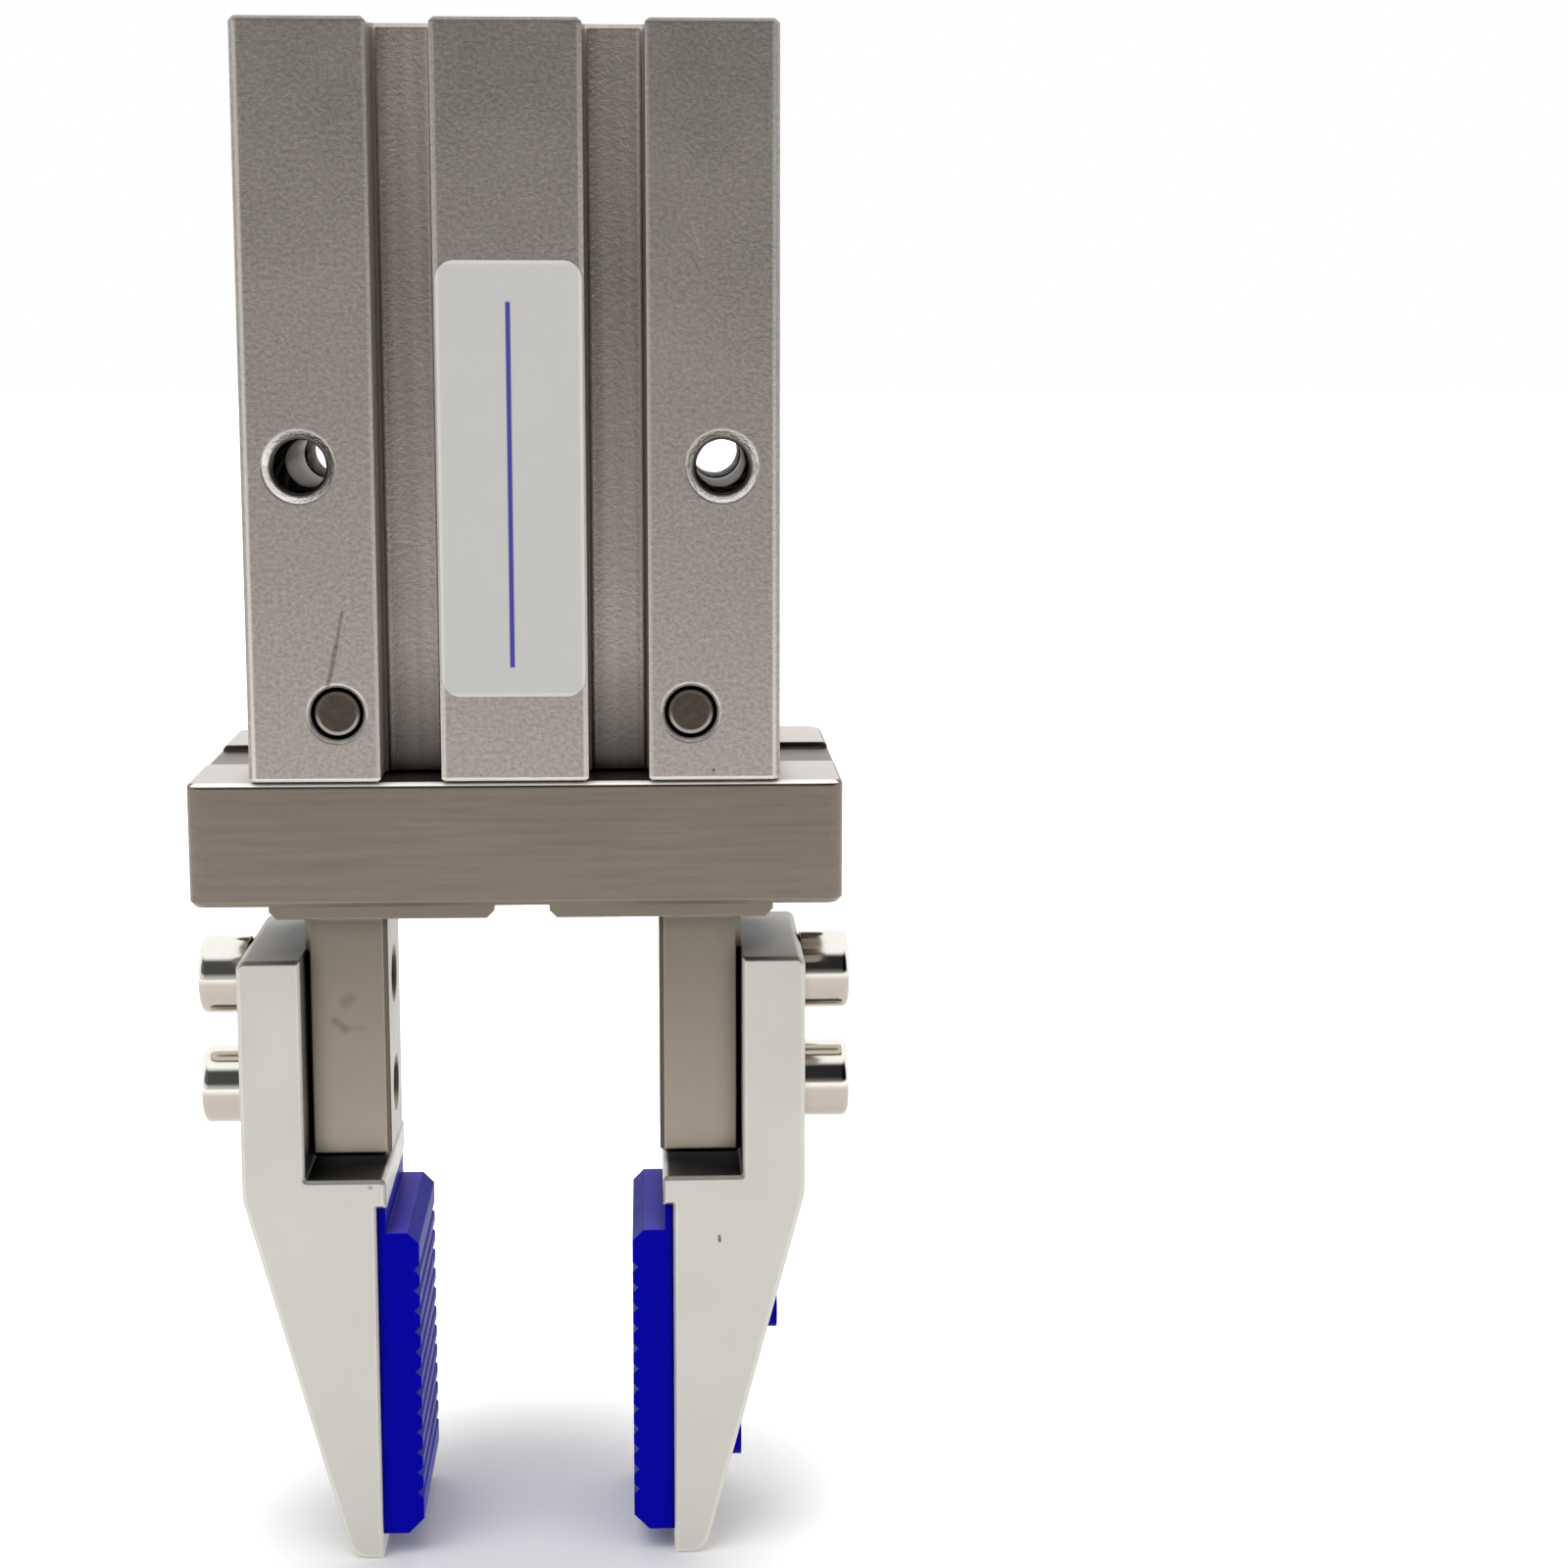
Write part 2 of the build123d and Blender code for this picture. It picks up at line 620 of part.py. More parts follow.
# Finger: a carriage with ball tracks and a pocket for the lever's foot, and a post with two tapped holes
with BuildPart() as right_finger:
    with BuildSketch(Plane.YZ.offset(carriage_inner)):
        with Locations((0, (carriage_top + carriage_bottom) / 2)):
            Rectangle(carriage_width, carriage_top - carriage_bottom)
        with Locations((-ball_track_y, ball_level), (ball_track_y, ball_level)):
            Circle(ball_diameter / 2 + static_clearance, mode=Mode.SUBTRACT)
    extrude(amount=carriage_length)
    chamfer(right_finger.edges().group_by(Axis.Z)[0].filter_by(Axis.Y), carriage_chamfer)
    with BuildSketch(level(carriage_top)):
        with Locations((lever_slot_x, 0)):
            Rectangle(2 * (lever_foot_radius + running_clearance), lever_pocket_width)
    extrude(amount=foot_pocket_floor - carriage_top, mode=Mode.SUBTRACT)
    with BuildSketch(level(carriage_bottom)):
        with Locations(((finger_inner + finger_outer) / 2, 0)):
            post = Rectangle(finger_thickness, finger_depth)
        chamfer(post.vertices(), finger_edge_chamfer)
    extrude(amount=finger_tip - carriage_bottom)
    chamfer(right_finger.edges().group_by(Axis.Z)[0], finger_edge_chamfer)
    root_edges = right_finger.edges().filter_by_position(Axis.Z, carriage_bottom, carriage_bottom)
    root_edges = root_edges.filter_by_position(Axis.Y, -finger_depth / 2, finger_depth / 2)
    root_edges = root_edges.filter_by_position(Axis.X, finger_inner, finger_outer)
    fillet(root_edges, finger_root_round)
    with Locations(*[side_plane(finger_inner, z, -1) for z in finger_holes]):
        CounterSinkHole(finger_screw_diameter / 2 + static_clearance,
                        finger_screw_diameter / 2 + finger_hole_sink, finger_thickness, 90)

with BuildPart() as left_finger:
    mirror(right_finger.part, about=Plane.YZ)

# Jaw plate: a leg on the finger's outer side, a ledge below its tip and a slanted back with a slot
with BuildPart() as right_jaw_plate:
    with BuildSketch(Plane.XZ) as plate_profile:
        with BuildLine():
            Polyline((finger_outer, plate_top), (plate_outer, plate_top), (plate_outer, slant_top),
                     (slant_x(plate_bottom), plate_bottom), (seat_x, plate_bottom), (seat_x, lip_bottom),
                     (lip_x, lip_bottom), (lip_x, ledge_level), (finger_outer, ledge_level), close=True)
        make_face()
        fillet(nearest(plate_profile, plate_outer, slant_top), plate_outer_round)
        fillet(nearest(plate_profile, slant_x(plate_bottom), plate_bottom), plate_tip_round)
        fillet(nearest(plate_profile, plate_outer, plate_top), plate_inner_round)
        fillet(nearest(plate_profile, finger_outer, ledge_level), ledge_corner_round)
        fillet(nearest(plate_profile, lip_x, ledge_level), lip_round)
    extrude(amount=plate_depth / 2, both=True)
    chamfer(right_jaw_plate.faces().filter_by(Axis.Y).edges(), plate_edge_chamfer)
    with BuildSketch(side_plane(seat_x, slot_middle)):
        SlotOverall(slot_length, slot_width, rotation=90)
    extrude(amount=plate_outer - seat_x, mode=Mode.SUBTRACT)
    with Locations(*[side_plane(plate_outer, z) for z in finger_holes]):
        Hole(plate_screw_hole_diameter / 2, plate_leg)

with BuildPart() as left_jaw_plate:
    mirror(right_jaw_plate.part, about=Plane.YZ)

with BuildPart() as right_plate_screws:
    with Locations(*[side_plane(plate_outer, z) for z in finger_holes]):
        Cylinder(plate_screw_head_diameter / 2, plate_screw_head_height, align=standing)
        Cylinder(finger_screw_diameter / 2, plate_leg + plate_screw_engagement, align=hanging)
    fillet(right_plate_screws.edges().group_by(Axis.X)[-1], head_edge_round)
    with BuildSketch(*[side_plane(plate_outer + plate_screw_head_height, z) for z in finger_holes]):
        RegularPolygon(plate_screw_socket / 2, 6, major_radius=False)
    extrude(amount=-socket_depth, mode=Mode.SUBTRACT)

with BuildPart() as left_plate_screws:
    mirror(right_plate_screws.part, about=Plane.YZ)

# Pad: grip face with sawn teeth, a thin tab up to the lip, a rib in the plate's slot and two pegs
with BuildPart() as right_pad:
    with BuildSketch(side_plane(seat_x, slot_middle)):
        SlotOverall(slot_length - 2 * rib_clearance, slot_width - 2 * rib_clearance, rotation=90)
    extrude(amount=plate_outer - seat_x)
    split(bisect_by=Plane(origin=(slant_x(slot_middle) - rib_drop, 0, slot_middle),
                          z_dir=(1, 0, -slant_run)), keep=Keep.BOTTOM)
    for peg_level in peg_levels:
        with BuildSketch(side_plane(seat_x, peg_level)):
            Circle(peg_diameter / 2)
        extrude(amount=slant_x(peg_level) + peg_stand - seat_x)
    with BuildSketch(Plane.XZ) as pad_profile:
        with BuildLine():
            Polyline((seat_x, lip_bottom), (seat_x - pad_tab_thickness, lip_bottom),
                     (seat_x - pad_tab_thickness, pad_top), (pad_face + pad_chamfer, pad_top),
                     (pad_face, pad_top - pad_chamfer), (pad_face, pad_bottom + pad_tip_chamfer),
                     (pad_face + pad_tip_chamfer, pad_bottom), (seat_x, pad_bottom), close=True)
        make_face()
        with Locations((pad_face, teeth_middle)):
            with GridLocations(0, tooth_pitch, 1, tooth_count):
                Rectangle(tooth_side, tooth_side, rotation=45, mode=Mode.SUBTRACT)
    extrude(amount=pad_depth / 2, both=True)

with BuildPart() as left_pad:
    mirror(right_pad.part, about=Plane.YZ)

nodes = {
    "body": body,
    "rear_cap": rear_cap,
    "cap_seal": cap_seal,
    "retaining_ring": retaining_ring,
    "bumper": bumper,
    "rod_seal": rod_seal,
    "seal_retainer": seal_retainer,
    "piston": piston,
    "piston_seal": piston_seal,
    "magnet": magnet,
    "rod_joint": rod_joint,
    "joint_pin": joint_pin,
    "left_lever": left_lever,
    "right_lever": right_lever,
    "left_lever_shaft": left_lever_shaft,
    "right_lever_shaft": right_lever_shaft,
    "rail": rail,
    "rail_screws": rail_screws,
    "steel_balls": steel_balls,
    "ball_stops": ball_stops,
    "left_finger": left_finger,
    "right_finger": right_finger,
    "left_jaw_plate": left_jaw_plate,
    "right_jaw_plate": right_jaw_plate,
    "left_plate_screws": left_plate_screws,
    "right_plate_screws": right_plate_screws,
    "left_pad": left_pad,
    "right_pad": right_pad,
}
os.makedirs("parts", exist_ok=True)
for name, node in nodes.items():
    node.part.label = name
    export_step(node.part, f"parts/{name}.step")
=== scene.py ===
import math
import bpy
import numpy as np
from mathutils import Matrix, Vector


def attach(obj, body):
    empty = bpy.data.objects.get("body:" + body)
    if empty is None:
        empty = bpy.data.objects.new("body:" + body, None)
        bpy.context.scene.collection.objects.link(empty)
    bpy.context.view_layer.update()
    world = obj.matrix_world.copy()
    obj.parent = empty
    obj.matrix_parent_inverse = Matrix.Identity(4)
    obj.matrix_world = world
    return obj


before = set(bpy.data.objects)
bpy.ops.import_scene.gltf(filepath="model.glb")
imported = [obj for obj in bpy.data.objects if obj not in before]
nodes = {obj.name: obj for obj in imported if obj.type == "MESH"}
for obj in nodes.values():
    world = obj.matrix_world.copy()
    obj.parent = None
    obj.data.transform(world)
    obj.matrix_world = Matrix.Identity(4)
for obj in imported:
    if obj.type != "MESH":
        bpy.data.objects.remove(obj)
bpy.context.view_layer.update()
scene = bpy.context.scene
scene.view_settings.view_transform = "Standard"
millimetre = 0.001

# Places on the solids that the finishes follow, in millimetres: the housing's front face and half width, and the
# levels of its foot and of the fingers' root and tip
solidPlaces = {"face": 11.8, "halfWidth": 15.3, "foot": -43.0, "fingerRoot": -53.0, "fingerTip": -67.0}

# The camera stands 166 mm in front of the housing, 17 mm below its rear end, and looks a little down.
cameraPlace = {"eye": (7.72, -177.85, -16.59), "turn": -2.690, "tilt": -9.085, "roll": -0.048, "lens": 66.67}


def makeCamera(place):
    turn, tilt, roll = (math.radians(place[key]) for key in ("turn", "tilt", "roll"))
    facing = Matrix.Rotation(turn, 3, "Z") @ Matrix.Rotation(tilt, 3, "X") @ Matrix.Rotation(roll, 3, "Y")
    facing = facing @ Matrix.Rotation(math.radians(90), 3, "X")  # a Blender camera looks along its -Z
    camera = bpy.data.objects.new("camera", bpy.data.cameras.new("camera"))
    scene.collection.objects.link(camera)
    camera.data.lens = place["lens"]
    camera.data.clip_start, camera.data.clip_end = 0.01, 20
    camera.matrix_world = Matrix.Translation(Vector(place["eye"]) * millimetre) @ facing.to_4x4()
    scene.camera = camera


makeCamera(cameraPlace)
print("camera ready")


# Small helpers for shader trees
def newNode(tree, kind, at, **settings):
    node = tree.nodes.new(kind)
    node.location = at
    for name, value in settings.items():
        setattr(node, name, value)
    return node


def feed(tree, socket, value):
    # A link where value is a socket, a plain number or colour otherwise
    if isinstance(value, bpy.types.NodeSocket):
        tree.links.new(value, socket)
    else:
        socket.default_value = value


def mathNode(tree, operation, at, first, second=0.0, clamp=False):
    node = newNode(tree, "ShaderNodeMath", at, operation=operation, use_clamp=clamp)
    feed(tree, node.inputs[0], first)
    feed(tree, node.inputs[1], second)
    return node.outputs[0]


def rangeNode(tree, at, value, low, high, newLow, newHigh, smooth=False):
    node = newNode(tree, "ShaderNodeMapRange", at, interpolation_type="SMOOTHSTEP" if smooth else "LINEAR")
    for socket, number in zip(node.inputs[:5], (value, low, high, newLow, newHigh)):
        feed(tree, socket, number)
    return node.outputs[0]


def mixColor(tree, at, factor, first, second):
    node = newNode(tree, "ShaderNodeMix", at, data_type="RGBA")
    feed(tree, node.inputs[0], factor)
    feed(tree, node.inputs[6], first)
    feed(tree, node.inputs[7], second)
    return node.outputs[2]


def scaledSpace(tree, at, vector, scale):
    node = newNode(tree, "ShaderNodeMapping", at)
    feed(tree, node.inputs["Vector"], vector)
    feed(tree, node.inputs["Scale"], scale)
    return node.outputs[0]


def noise(tree, at, vector, scale, detail=2.0, rough=0.5):
    node = newNode(tree, "ShaderNodeTexNoise", at)
    feed(tree, node.inputs["Vector"], vector)
    feed(tree, node.inputs["Scale"], scale)
    feed(tree, node.inputs["Detail"], detail)
    feed(tree, node.inputs["Roughness"], rough)
    return node.outputs["Fac"]


def startGroup(name, inputs, outputs):
    group = bpy.data.node_groups.new(name, "ShaderNodeTree")
    for label, kind, value in inputs:
        socket = group.interface.new_socket(label, in_out="INPUT", socket_type="NodeSocket" + kind)
        if value is not None:
            socket.default_value = value
    for label, kind in outputs:
        group.interface.new_socket(label, in_out="OUTPUT", socket_type="NodeSocket" + kind)
    return group, newNode(group, "NodeGroupInput", (-900, 0)), newNode(group, "NodeGroupOutput", (900, 0))


def vectorNode(tree, operation, at, first, second=(0, 0, 0)):
    node = newNode(tree, "ShaderNodeVectorMath", at, operation=operation)
    feed(tree, node.inputs[0], first)
    feed(tree, node.inputs["Scale" if operation == "SCALE" else 1], second)
    return node.outputs["Value" if operation in ("DOT_PRODUCT", "LENGTH") else "Vector"]


def objectSpace(tree, at):
    return newNode(tree, "ShaderNodeTexCoord", at).outputs["Object"]


def axes(tree, at, vector):
    split = newNode(tree, "ShaderNodeSeparateXYZ", at)
    feed(tree, split.inputs[0], vector)
    return split.outputs


def oneMinus(tree, at, value):
    return mathNode(tree, "SUBTRACT", at, 1.0, value)


def stepUp(tree, at, value, low, high):
    # 0 below low, 1 above high, both in millimetres, with value in metres
    return rangeNode(tree, at, value, low * millimetre, high * millimetre, 0, 1)


def between(tree, at, value, low, high, soft):
    # 1 where value, in metres, lies between low and high in millimetres, with a soft step at each end
    low, high, soft = low * millimetre, high * millimetre, soft * millimetre
    return mathNode(tree, "MULTIPLY", (at[0] + 200, at[1]), rangeNode(tree, at, value, low - soft, low + soft, 0, 1),
                    rangeNode(tree, (at[0], at[1] - 160), value, high - soft, high + soft, 1, 0))


def allOf(tree, at, *masks):
    product = masks[0]
    for step, mask in enumerate(masks[1:]):
        product = mathNode(tree, "MULTIPLY", (at[0] + 150 * step, at[1]), product, mask)
    return product


def makeGrainGroup():
    # Fine, even grain of a blasted or moulded surface: two noises, one fine and one coarse, vary the colour,
    # and the fine one also gives the bump, over a normal that turns round sharp edges
    group, given, out = startGroup("surfaceGrain", [
        ("Color", "Color", (0.5, 0.5, 0.5, 1)), ("Scale", "Float", 3000.0), ("Contrast", "Float", 0.2),
        ("Cloud", "Float", 0.1), ("Depth", "Float", 0.00002), ("Roughness", "Float", 0.4),
        ("Stretch", "Vector", (1, 1, 1)), ("Edge Width", "Float", 0.0001)],
        [("Color", "Color"), ("Roughness", "Float"), ("Normal", "Vector")])
    place = objectSpace(group, (-900, 300))
    space = scaledSpace(group, (-700, 300), place, given.outputs["Stretch"])
    fine = noise(group, (-450, 300), space, given.outputs["Scale"], 3.0, 0.6)
    coarse = noise(group, (-450, 0), place, 160.0, 3.0, 0.6)
    fineShade = mathNode(group, "MULTIPLY", (-200, 300), mathNode(group, "SUBTRACT", (-300, 300), fine, 0.5),
                         given.outputs["Contrast"])
    coarseShade = mathNode(group, "MULTIPLY", (-200, 100), mathNode(group, "SUBTRACT", (-300, 100), coarse, 0.5),
                           given.outputs["Cloud"])
    shade = mathNode(group, "ADD", (0, 300), mathNode(group, "ADD", (-100, 300), fineShade, coarseShade), 1.0)
    tone = vectorNode(group, "SCALE", (200, 300), given.outputs["Color"], shade)
    roughness = mathNode(group, "MULTIPLY", (200, 100), given.outputs["Roughness"],
                         rangeNode(group, (0, 100), coarse, 0.3, 0.7, 0.9, 1.1))
    rounded = newNode(group, "ShaderNodeBevel", (200, -200), samples=6)
    feed(group, rounded.inputs["Radius"], given.outputs["Edge Width"])
    bump = newNode(group, "ShaderNodeBump", (400, -100))
    feed(group, bump.inputs["Height"], fine)
    feed(group, bump.inputs["Distance"], given.outputs["Depth"])
    feed(group, bump.inputs["Normal"], rounded.outputs[0])
    feed(group, out.inputs["Color"], tone)
    feed(group, out.inputs["Roughness"], roughness)
    feed(group, out.inputs["Normal"], bump.outputs[0])
    return group


def makeEdgeGroup():
    # Painted highlight: where the surface turns sharply within Width, the colour goes to Edge Color, broken up a
    # little by noise
    group, given, out = startGroup("brightEdges", [
        ("Color", "Color", (0.5, 0.5, 0.5, 1)), ("Edge Color", "Color", (0.8, 0.8, 0.8, 1)),
        ("Width", "Float", 0.0002), ("Amount", "Float", 1.0)], [("Color", "Color")])
    rounded = newNode(group, "ShaderNodeBevel", (-600, 200), samples=6)
    feed(group, rounded.inputs["Radius"], given.outputs["Width"])
    flat = newNode(group, "ShaderNodeNewGeometry", (-600, 0)).outputs["Normal"]
    both = vectorNode(group, "DOT_PRODUCT", (-400, 100), rounded.outputs[0], flat)
    turned = rangeNode(group, (-200, 100), both, 0.995, 0.9, 0.0, 1.0)
    place = objectSpace(group, (-600, -200))
    highlightBreakup = rangeNode(group, (-200, -200), noise(group, (-400, -200), place, 900.0, 3.0), 0.3, 0.6, 0.6, 1.0)
    mask = mathNode(group, "MULTIPLY", (100, 0), allOf(group, (-50, 0), turned, highlightBreakup),
                    given.outputs["Amount"], clamp=True)
    feed(group, out.inputs["Color"], mixColor(group, (300, 100), mask, given.outputs["Color"],
                                              given.outputs["Edge Color"]))
    return group


def makeCreviceGroup():
    # Painted shade in slots and corners: the share of open sky within Distance, raised to Power, blends the colour
    # towards Deep Color
    group, given, out = startGroup("creviceShade", [
        ("Color", "Color", (0.5, 0.5, 0.5, 1)), ("Deep Color", "Color", (0.01, 0.01, 0.01, 1)),
        ("Distance", "Float", 0.002), ("Power", "Float", 2.0), ("Amount", "Float", 1.0)], [("Color", "Color")])
    sky = newNode(group, "ShaderNodeAmbientOcclusion", (-600, 0), samples=8)
    feed(group, sky.inputs["Distance"], given.outputs["Distance"])
    lit = rangeNode(group, (-400, 0), sky.outputs["AO"], 0.05, 0.95, 0.0, 1.0, smooth=True)
    shut = oneMinus(group, (-200, 0), mathNode(group, "POWER", (-300, 0), lit, given.outputs["Power"]))
    mask = mathNode(group, "MULTIPLY", (0, 0), shut, given.outputs["Amount"], clamp=True)
    feed(group, out.inputs["Color"], mixColor(group, (200, 0), mask, given.outputs["Color"],
                                              given.outputs["Deep Color"]))
    return group


def makeMarkGroup():
    # A scratch, dent or stain: 1 within Width of the line from Start to End, fading over Soft, broken by noise.
    # The nearest point of the line is Start plus the line times the clamped share of it that the point projects to.
    group, given, out = startGroup("surfaceMark", [
        ("Start", "Vector", (0, 0, 0)), ("End", "Vector", (0, 0, 0)), ("Width", "Float", 0.0001),
        ("Soft", "Float", 0.0001), ("Break", "Float", 0.3)], [("Mask", "Float")])
    place = objectSpace(group, (-1100, 0))
    line = vectorNode(group, "SUBTRACT", (-900, 200), given.outputs["End"], given.outputs["Start"])
    away = vectorNode(group, "SUBTRACT", (-900, 0), place, given.outputs["Start"])
    share = mathNode(group, "DIVIDE", (-500, 200), vectorNode(group, "DOT_PRODUCT", (-700, 200), away, line),
                     vectorNode(group, "DOT_PRODUCT", (-700, 0), line, line), clamp=True)
    nearest = vectorNode(group, "SCALE", (-300, 100), line, share)
    gap = vectorNode(group, "LENGTH", (0, 0), vectorNode(group, "SUBTRACT", (-150, 0), away, nearest))
    reach = mathNode(group, "ADD", (0, 200), given.outputs["Width"], given.outputs["Soft"])
    shape = rangeNode(group, (200, 0), gap, given.outputs["Width"], reach, 1.0, 0.0, smooth=True)
    rough = rangeNode(group, (200, -200), noise(group, (0, -200), place, 5000.0), 0.35, 0.6, 0.0, 1.0)
    kept = oneMinus(group, (400, -100), mathNode(group, "MULTIPLY", (300, -200), oneMinus(
        group, (250, -200), rough), given.outputs["Break"]))
    feed(group, out.inputs["Mask"], mathNode(group, "MULTIPLY", (600, 0), shape, kept))
    return group


grainGroup = makeGrainGroup()
edgeGroup = makeEdgeGroup()
creviceGroup = makeCreviceGroup()
markGroup = makeMarkGroup()


def placeGroup(tree, group, at, **values):
    node = newNode(tree, "ShaderNodeGroup", at, node_tree=group)
    for name, value in values.items():
        feed(tree, node.inputs[name.replace("_", " ")], value)
    return node


def rgb(red, green, blue):
    # Linear colour from the 0 to 255 values that a screen shows
    shares = [value / 255 for value in (red, green, blue)]
    return tuple(v / 12.92 if v < 0.04045 else ((v + 0.055) / 1.055) ** 2.4 for v in shares) + (1.0,)


def addMarks(tree, color, marks):
    # Each mark is a start and end in millimetres, a width, a softness, a colour and a strength
    for step, (start, end, width, soft, tint, strength) in enumerate(marks):
        at = (-200, -400 - 200 * step)
        mark = placeGroup(tree, markGroup, at, Start=tuple(v * millimetre for v in start),
                          End=tuple(v * millimetre for v in end), Width=width * millimetre, Soft=soft * millimetre)
        share = mathNode(tree, "MULTIPLY", (0, at[1]), mark.outputs["Mask"], strength)
        color = mixColor(tree, (150, at[1]), share, color, tint)
    return color


def finishMaterial(look, zones=None):
    # Grain, the zones of one piece, painted edge highlights, painted crevice shade and marks, into one Principled
    # shader
    material = bpy.data.materials.new(look["name"])
    material.use_nodes = True
    tree = material.node_tree
    shader = tree.nodes["Principled BSDF"]
    grain = placeGroup(tree, grainGroup, (-1300, 0), Color=look["color"], Scale=look["scale"],
                       Contrast=look["contrast"], Cloud=look["cloud"], Depth=look["depth"] * millimetre,
                       Roughness=look["roughness"], Stretch=look.get("stretch", (1, 1, 1)),
                       Edge_Width=look.get("edgeWidth", 0.1) * millimetre)
    color, roughness = grain.outputs["Color"], grain.outputs["Roughness"]
    metallic = look["metallic"]
    if zones:
        color, roughness, metallic = zones(tree, color, roughness, metallic)
    # Painted highlight along sharp edges
    if look.get("edgeAmount"):
        color = placeGroup(tree, edgeGroup, (-700, 200), Color=color, Edge_Color=look["edgeColor"],
                           Width=look["edgeWidth"] * millimetre, Amount=look["edgeAmount"]).outputs["Color"]
    # Painted shade in slots and corners
    if look.get("deepAmount"):
        amount = look["deepAmount"]
        if look.get("deepAbove"):  # no crevice shade near the floor
            height = axes(tree, (-900, 500), objectSpace(tree, (-1100, 500)))["Z"]
            low, high = (value * millimetre for value in look["deepAbove"])
            amount = rangeNode(tree, (-700, 500), height, low, high, 0.0, amount)
        color = placeGroup(tree, creviceGroup, (-450, 200), Color=color, Deep_Color=look["deepColor"],
                           Distance=look["deepReach"] * millimetre, Power=look.get("deepPower", 1.5),
                           Amount=amount).outputs["Color"]
    color = addMarks(tree, color, look.get("marks", []))
    feed(tree, shader.inputs["Base Color"], color)
    feed(tree, shader.inputs["Roughness"], roughness)
    feed(tree, shader.inputs["Normal"], grain.outputs["Normal"])
    feed(tree, shader.inputs["Metallic"], metallic)
    for name, value in look.get("shader", {}).items():
        shader.inputs[name].default_value = value
    return material


# Finishes. Lengths are in millimetres, scales in noise cells per metre. A mark is its start and end, a width, a
# softness, a colour and a strength.
# In each finish, edgeColor is the colour of a painted highlight along sharp edges and deepColor that of painted shade
# in slots and corners.
housingLook = {"name": "blastedAluminium", "color": rgb(172, 164, 157), "metallic": 1.0, "roughness": 0.42,
               "scale": 3900.0, "contrast": 0.95, "cloud": 0.12, "depth": 0.018,
               "edgeColor": rgb(208, 202, 194), "edgeWidth": 0.2, "edgeAmount": 0.6,
               "deepColor": rgb(24, 22, 20), "deepReach": 1.4, "deepAmount": 0.4, "deepPower": 1.2,
               "marks": [((-9.72, -11.8, -33.1), (-10.11, -11.8, -35.06), 0.03, 0.12, rgb(100, 95, 90), 0.6),
                         ((-10.11, -11.8, -35.06), (-10.62, -11.8, -37.32), 0.05, 0.16, rgb(96, 91, 86), 0.7),
                         ((11.43, -11.8, -42.34), (11.46, -11.8, -42.30), 0.04, 0.05, rgb(30, 26, 24), 0.9),
                         ((10.43, -11.8, -11.5), (10.86, -11.8, -13.1), 0.03, 0.06, rgb(196, 190, 184), 0.5),
                         ((10.2, -11.8, -12.9), (10.75, -11.8, -13.9), 0.02, 0.05, rgb(110, 104, 98), 0.5)]}
# The grooves are drawn smooth, with painted shade towards the rail and painted light towards the top, and the housing
# ends in a light rim, a painted highlight, above a dark seam, a painted shadow.
grooveLook = {"inner": 4.24, "outer": 7.72, "mouth": 11.7, "litTopColor": rgb(206, 196, 189), "topReach": 16.0,
              "color": rgb(166, 157, 150), "roughness": 0.34, "railEndShadeColor": rgb(84, 79, 75), "endReach": 9.0,
              "seamShadow": 0.10, "rim": 0.3, "seamShadowColor": rgb(18, 15, 13), "rimHighlightColor": rgb(232, 228, 221),
              "wallShadeColor": rgb(138, 130, 122), "wallMatt": 0.8}
# The lands between the grooves have light lips along their edges, painted highlights, and a dark top edge; the tapped
# holes have countersinks with a painted highlight, and the lever shafts' holes a thin, uneven painted highlight round
# their rim
landLook = {"lipHighlightColor": rgb(222, 214, 207), "lipHighlights": [(3.95, 4.26, 0.75), (7.70, 7.95, 0.45), (14.85, 15.4, 0.95)],
            "crest": 0.24, "crestColor": rgb(108, 98, 86), "holeAt": (12.0, -24.85), "sink": (1.75, 2.5),
            "sinkHighlightColor": rgb(250, 247, 242), "sinkRoughness": 0.16, "sinkTop": 0.6, "shaftAt": (10.15, -38.95),
            "shaftRimHighlight": (1.5, 1.72), "shaftRimWobble": 0.25, "shaftRimHighlightColor": rgb(240, 237, 231)}
railLook = {"name": "groundRailSteel", "color": rgb(126, 115, 105), "metallic": 1.0, "roughness": 0.34,
            "scale": 2600.0, "contrast": 0.4, "cloud": 0.1, "depth": 0.005, "stretch": (0.05, 1.0, 1.0),
            "edgeColor": rgb(172, 162, 152), "edgeWidth": 0.12, "edgeAmount": 0.6,
            "deepColor": rgb(20, 18, 16), "deepReach": 1.6, "deepAmount": 0.6,
            "litTopColor": rgb(220, 212, 206), "rim": 0.2, "rimDepth": 0.6, "rimHighlightColor": rgb(255, 251, 246),
            "rimMatt": 0.85}
fingerLook = {"name": "groundFingerSteel", "color": rgb(139, 130, 117), "metallic": 1.0, "roughness": 0.33,
              "scale": 1400.0, "contrast": 0.06, "cloud": 0.12, "depth": 0.001, "shades": (1.18, 0.74),
              "edgeColor": rgb(196, 188, 176), "edgeWidth": 0.14, "edgeAmount": 0.4,
              "deepColor": rgb(14, 12, 11), "deepReach": 2.0, "deepAmount": 0.85,
              "marks": [((-10.9, -4.0, -57.75), (-10.6, -4.0, -57.5), 0.05, 0.5, rgb(104, 97, 86), 0.55),
                        ((-11.54, -4.0, -58.86), (-10.9, -4.0, -59.42), 0.02, 0.4, rgb(100, 93, 82), 0.6),
                        ((-10.9, -4.0, -59.42), (-9.9, -4.0, -59.32), 0.01, 0.35, rgb(112, 104, 94), 0.45)]}
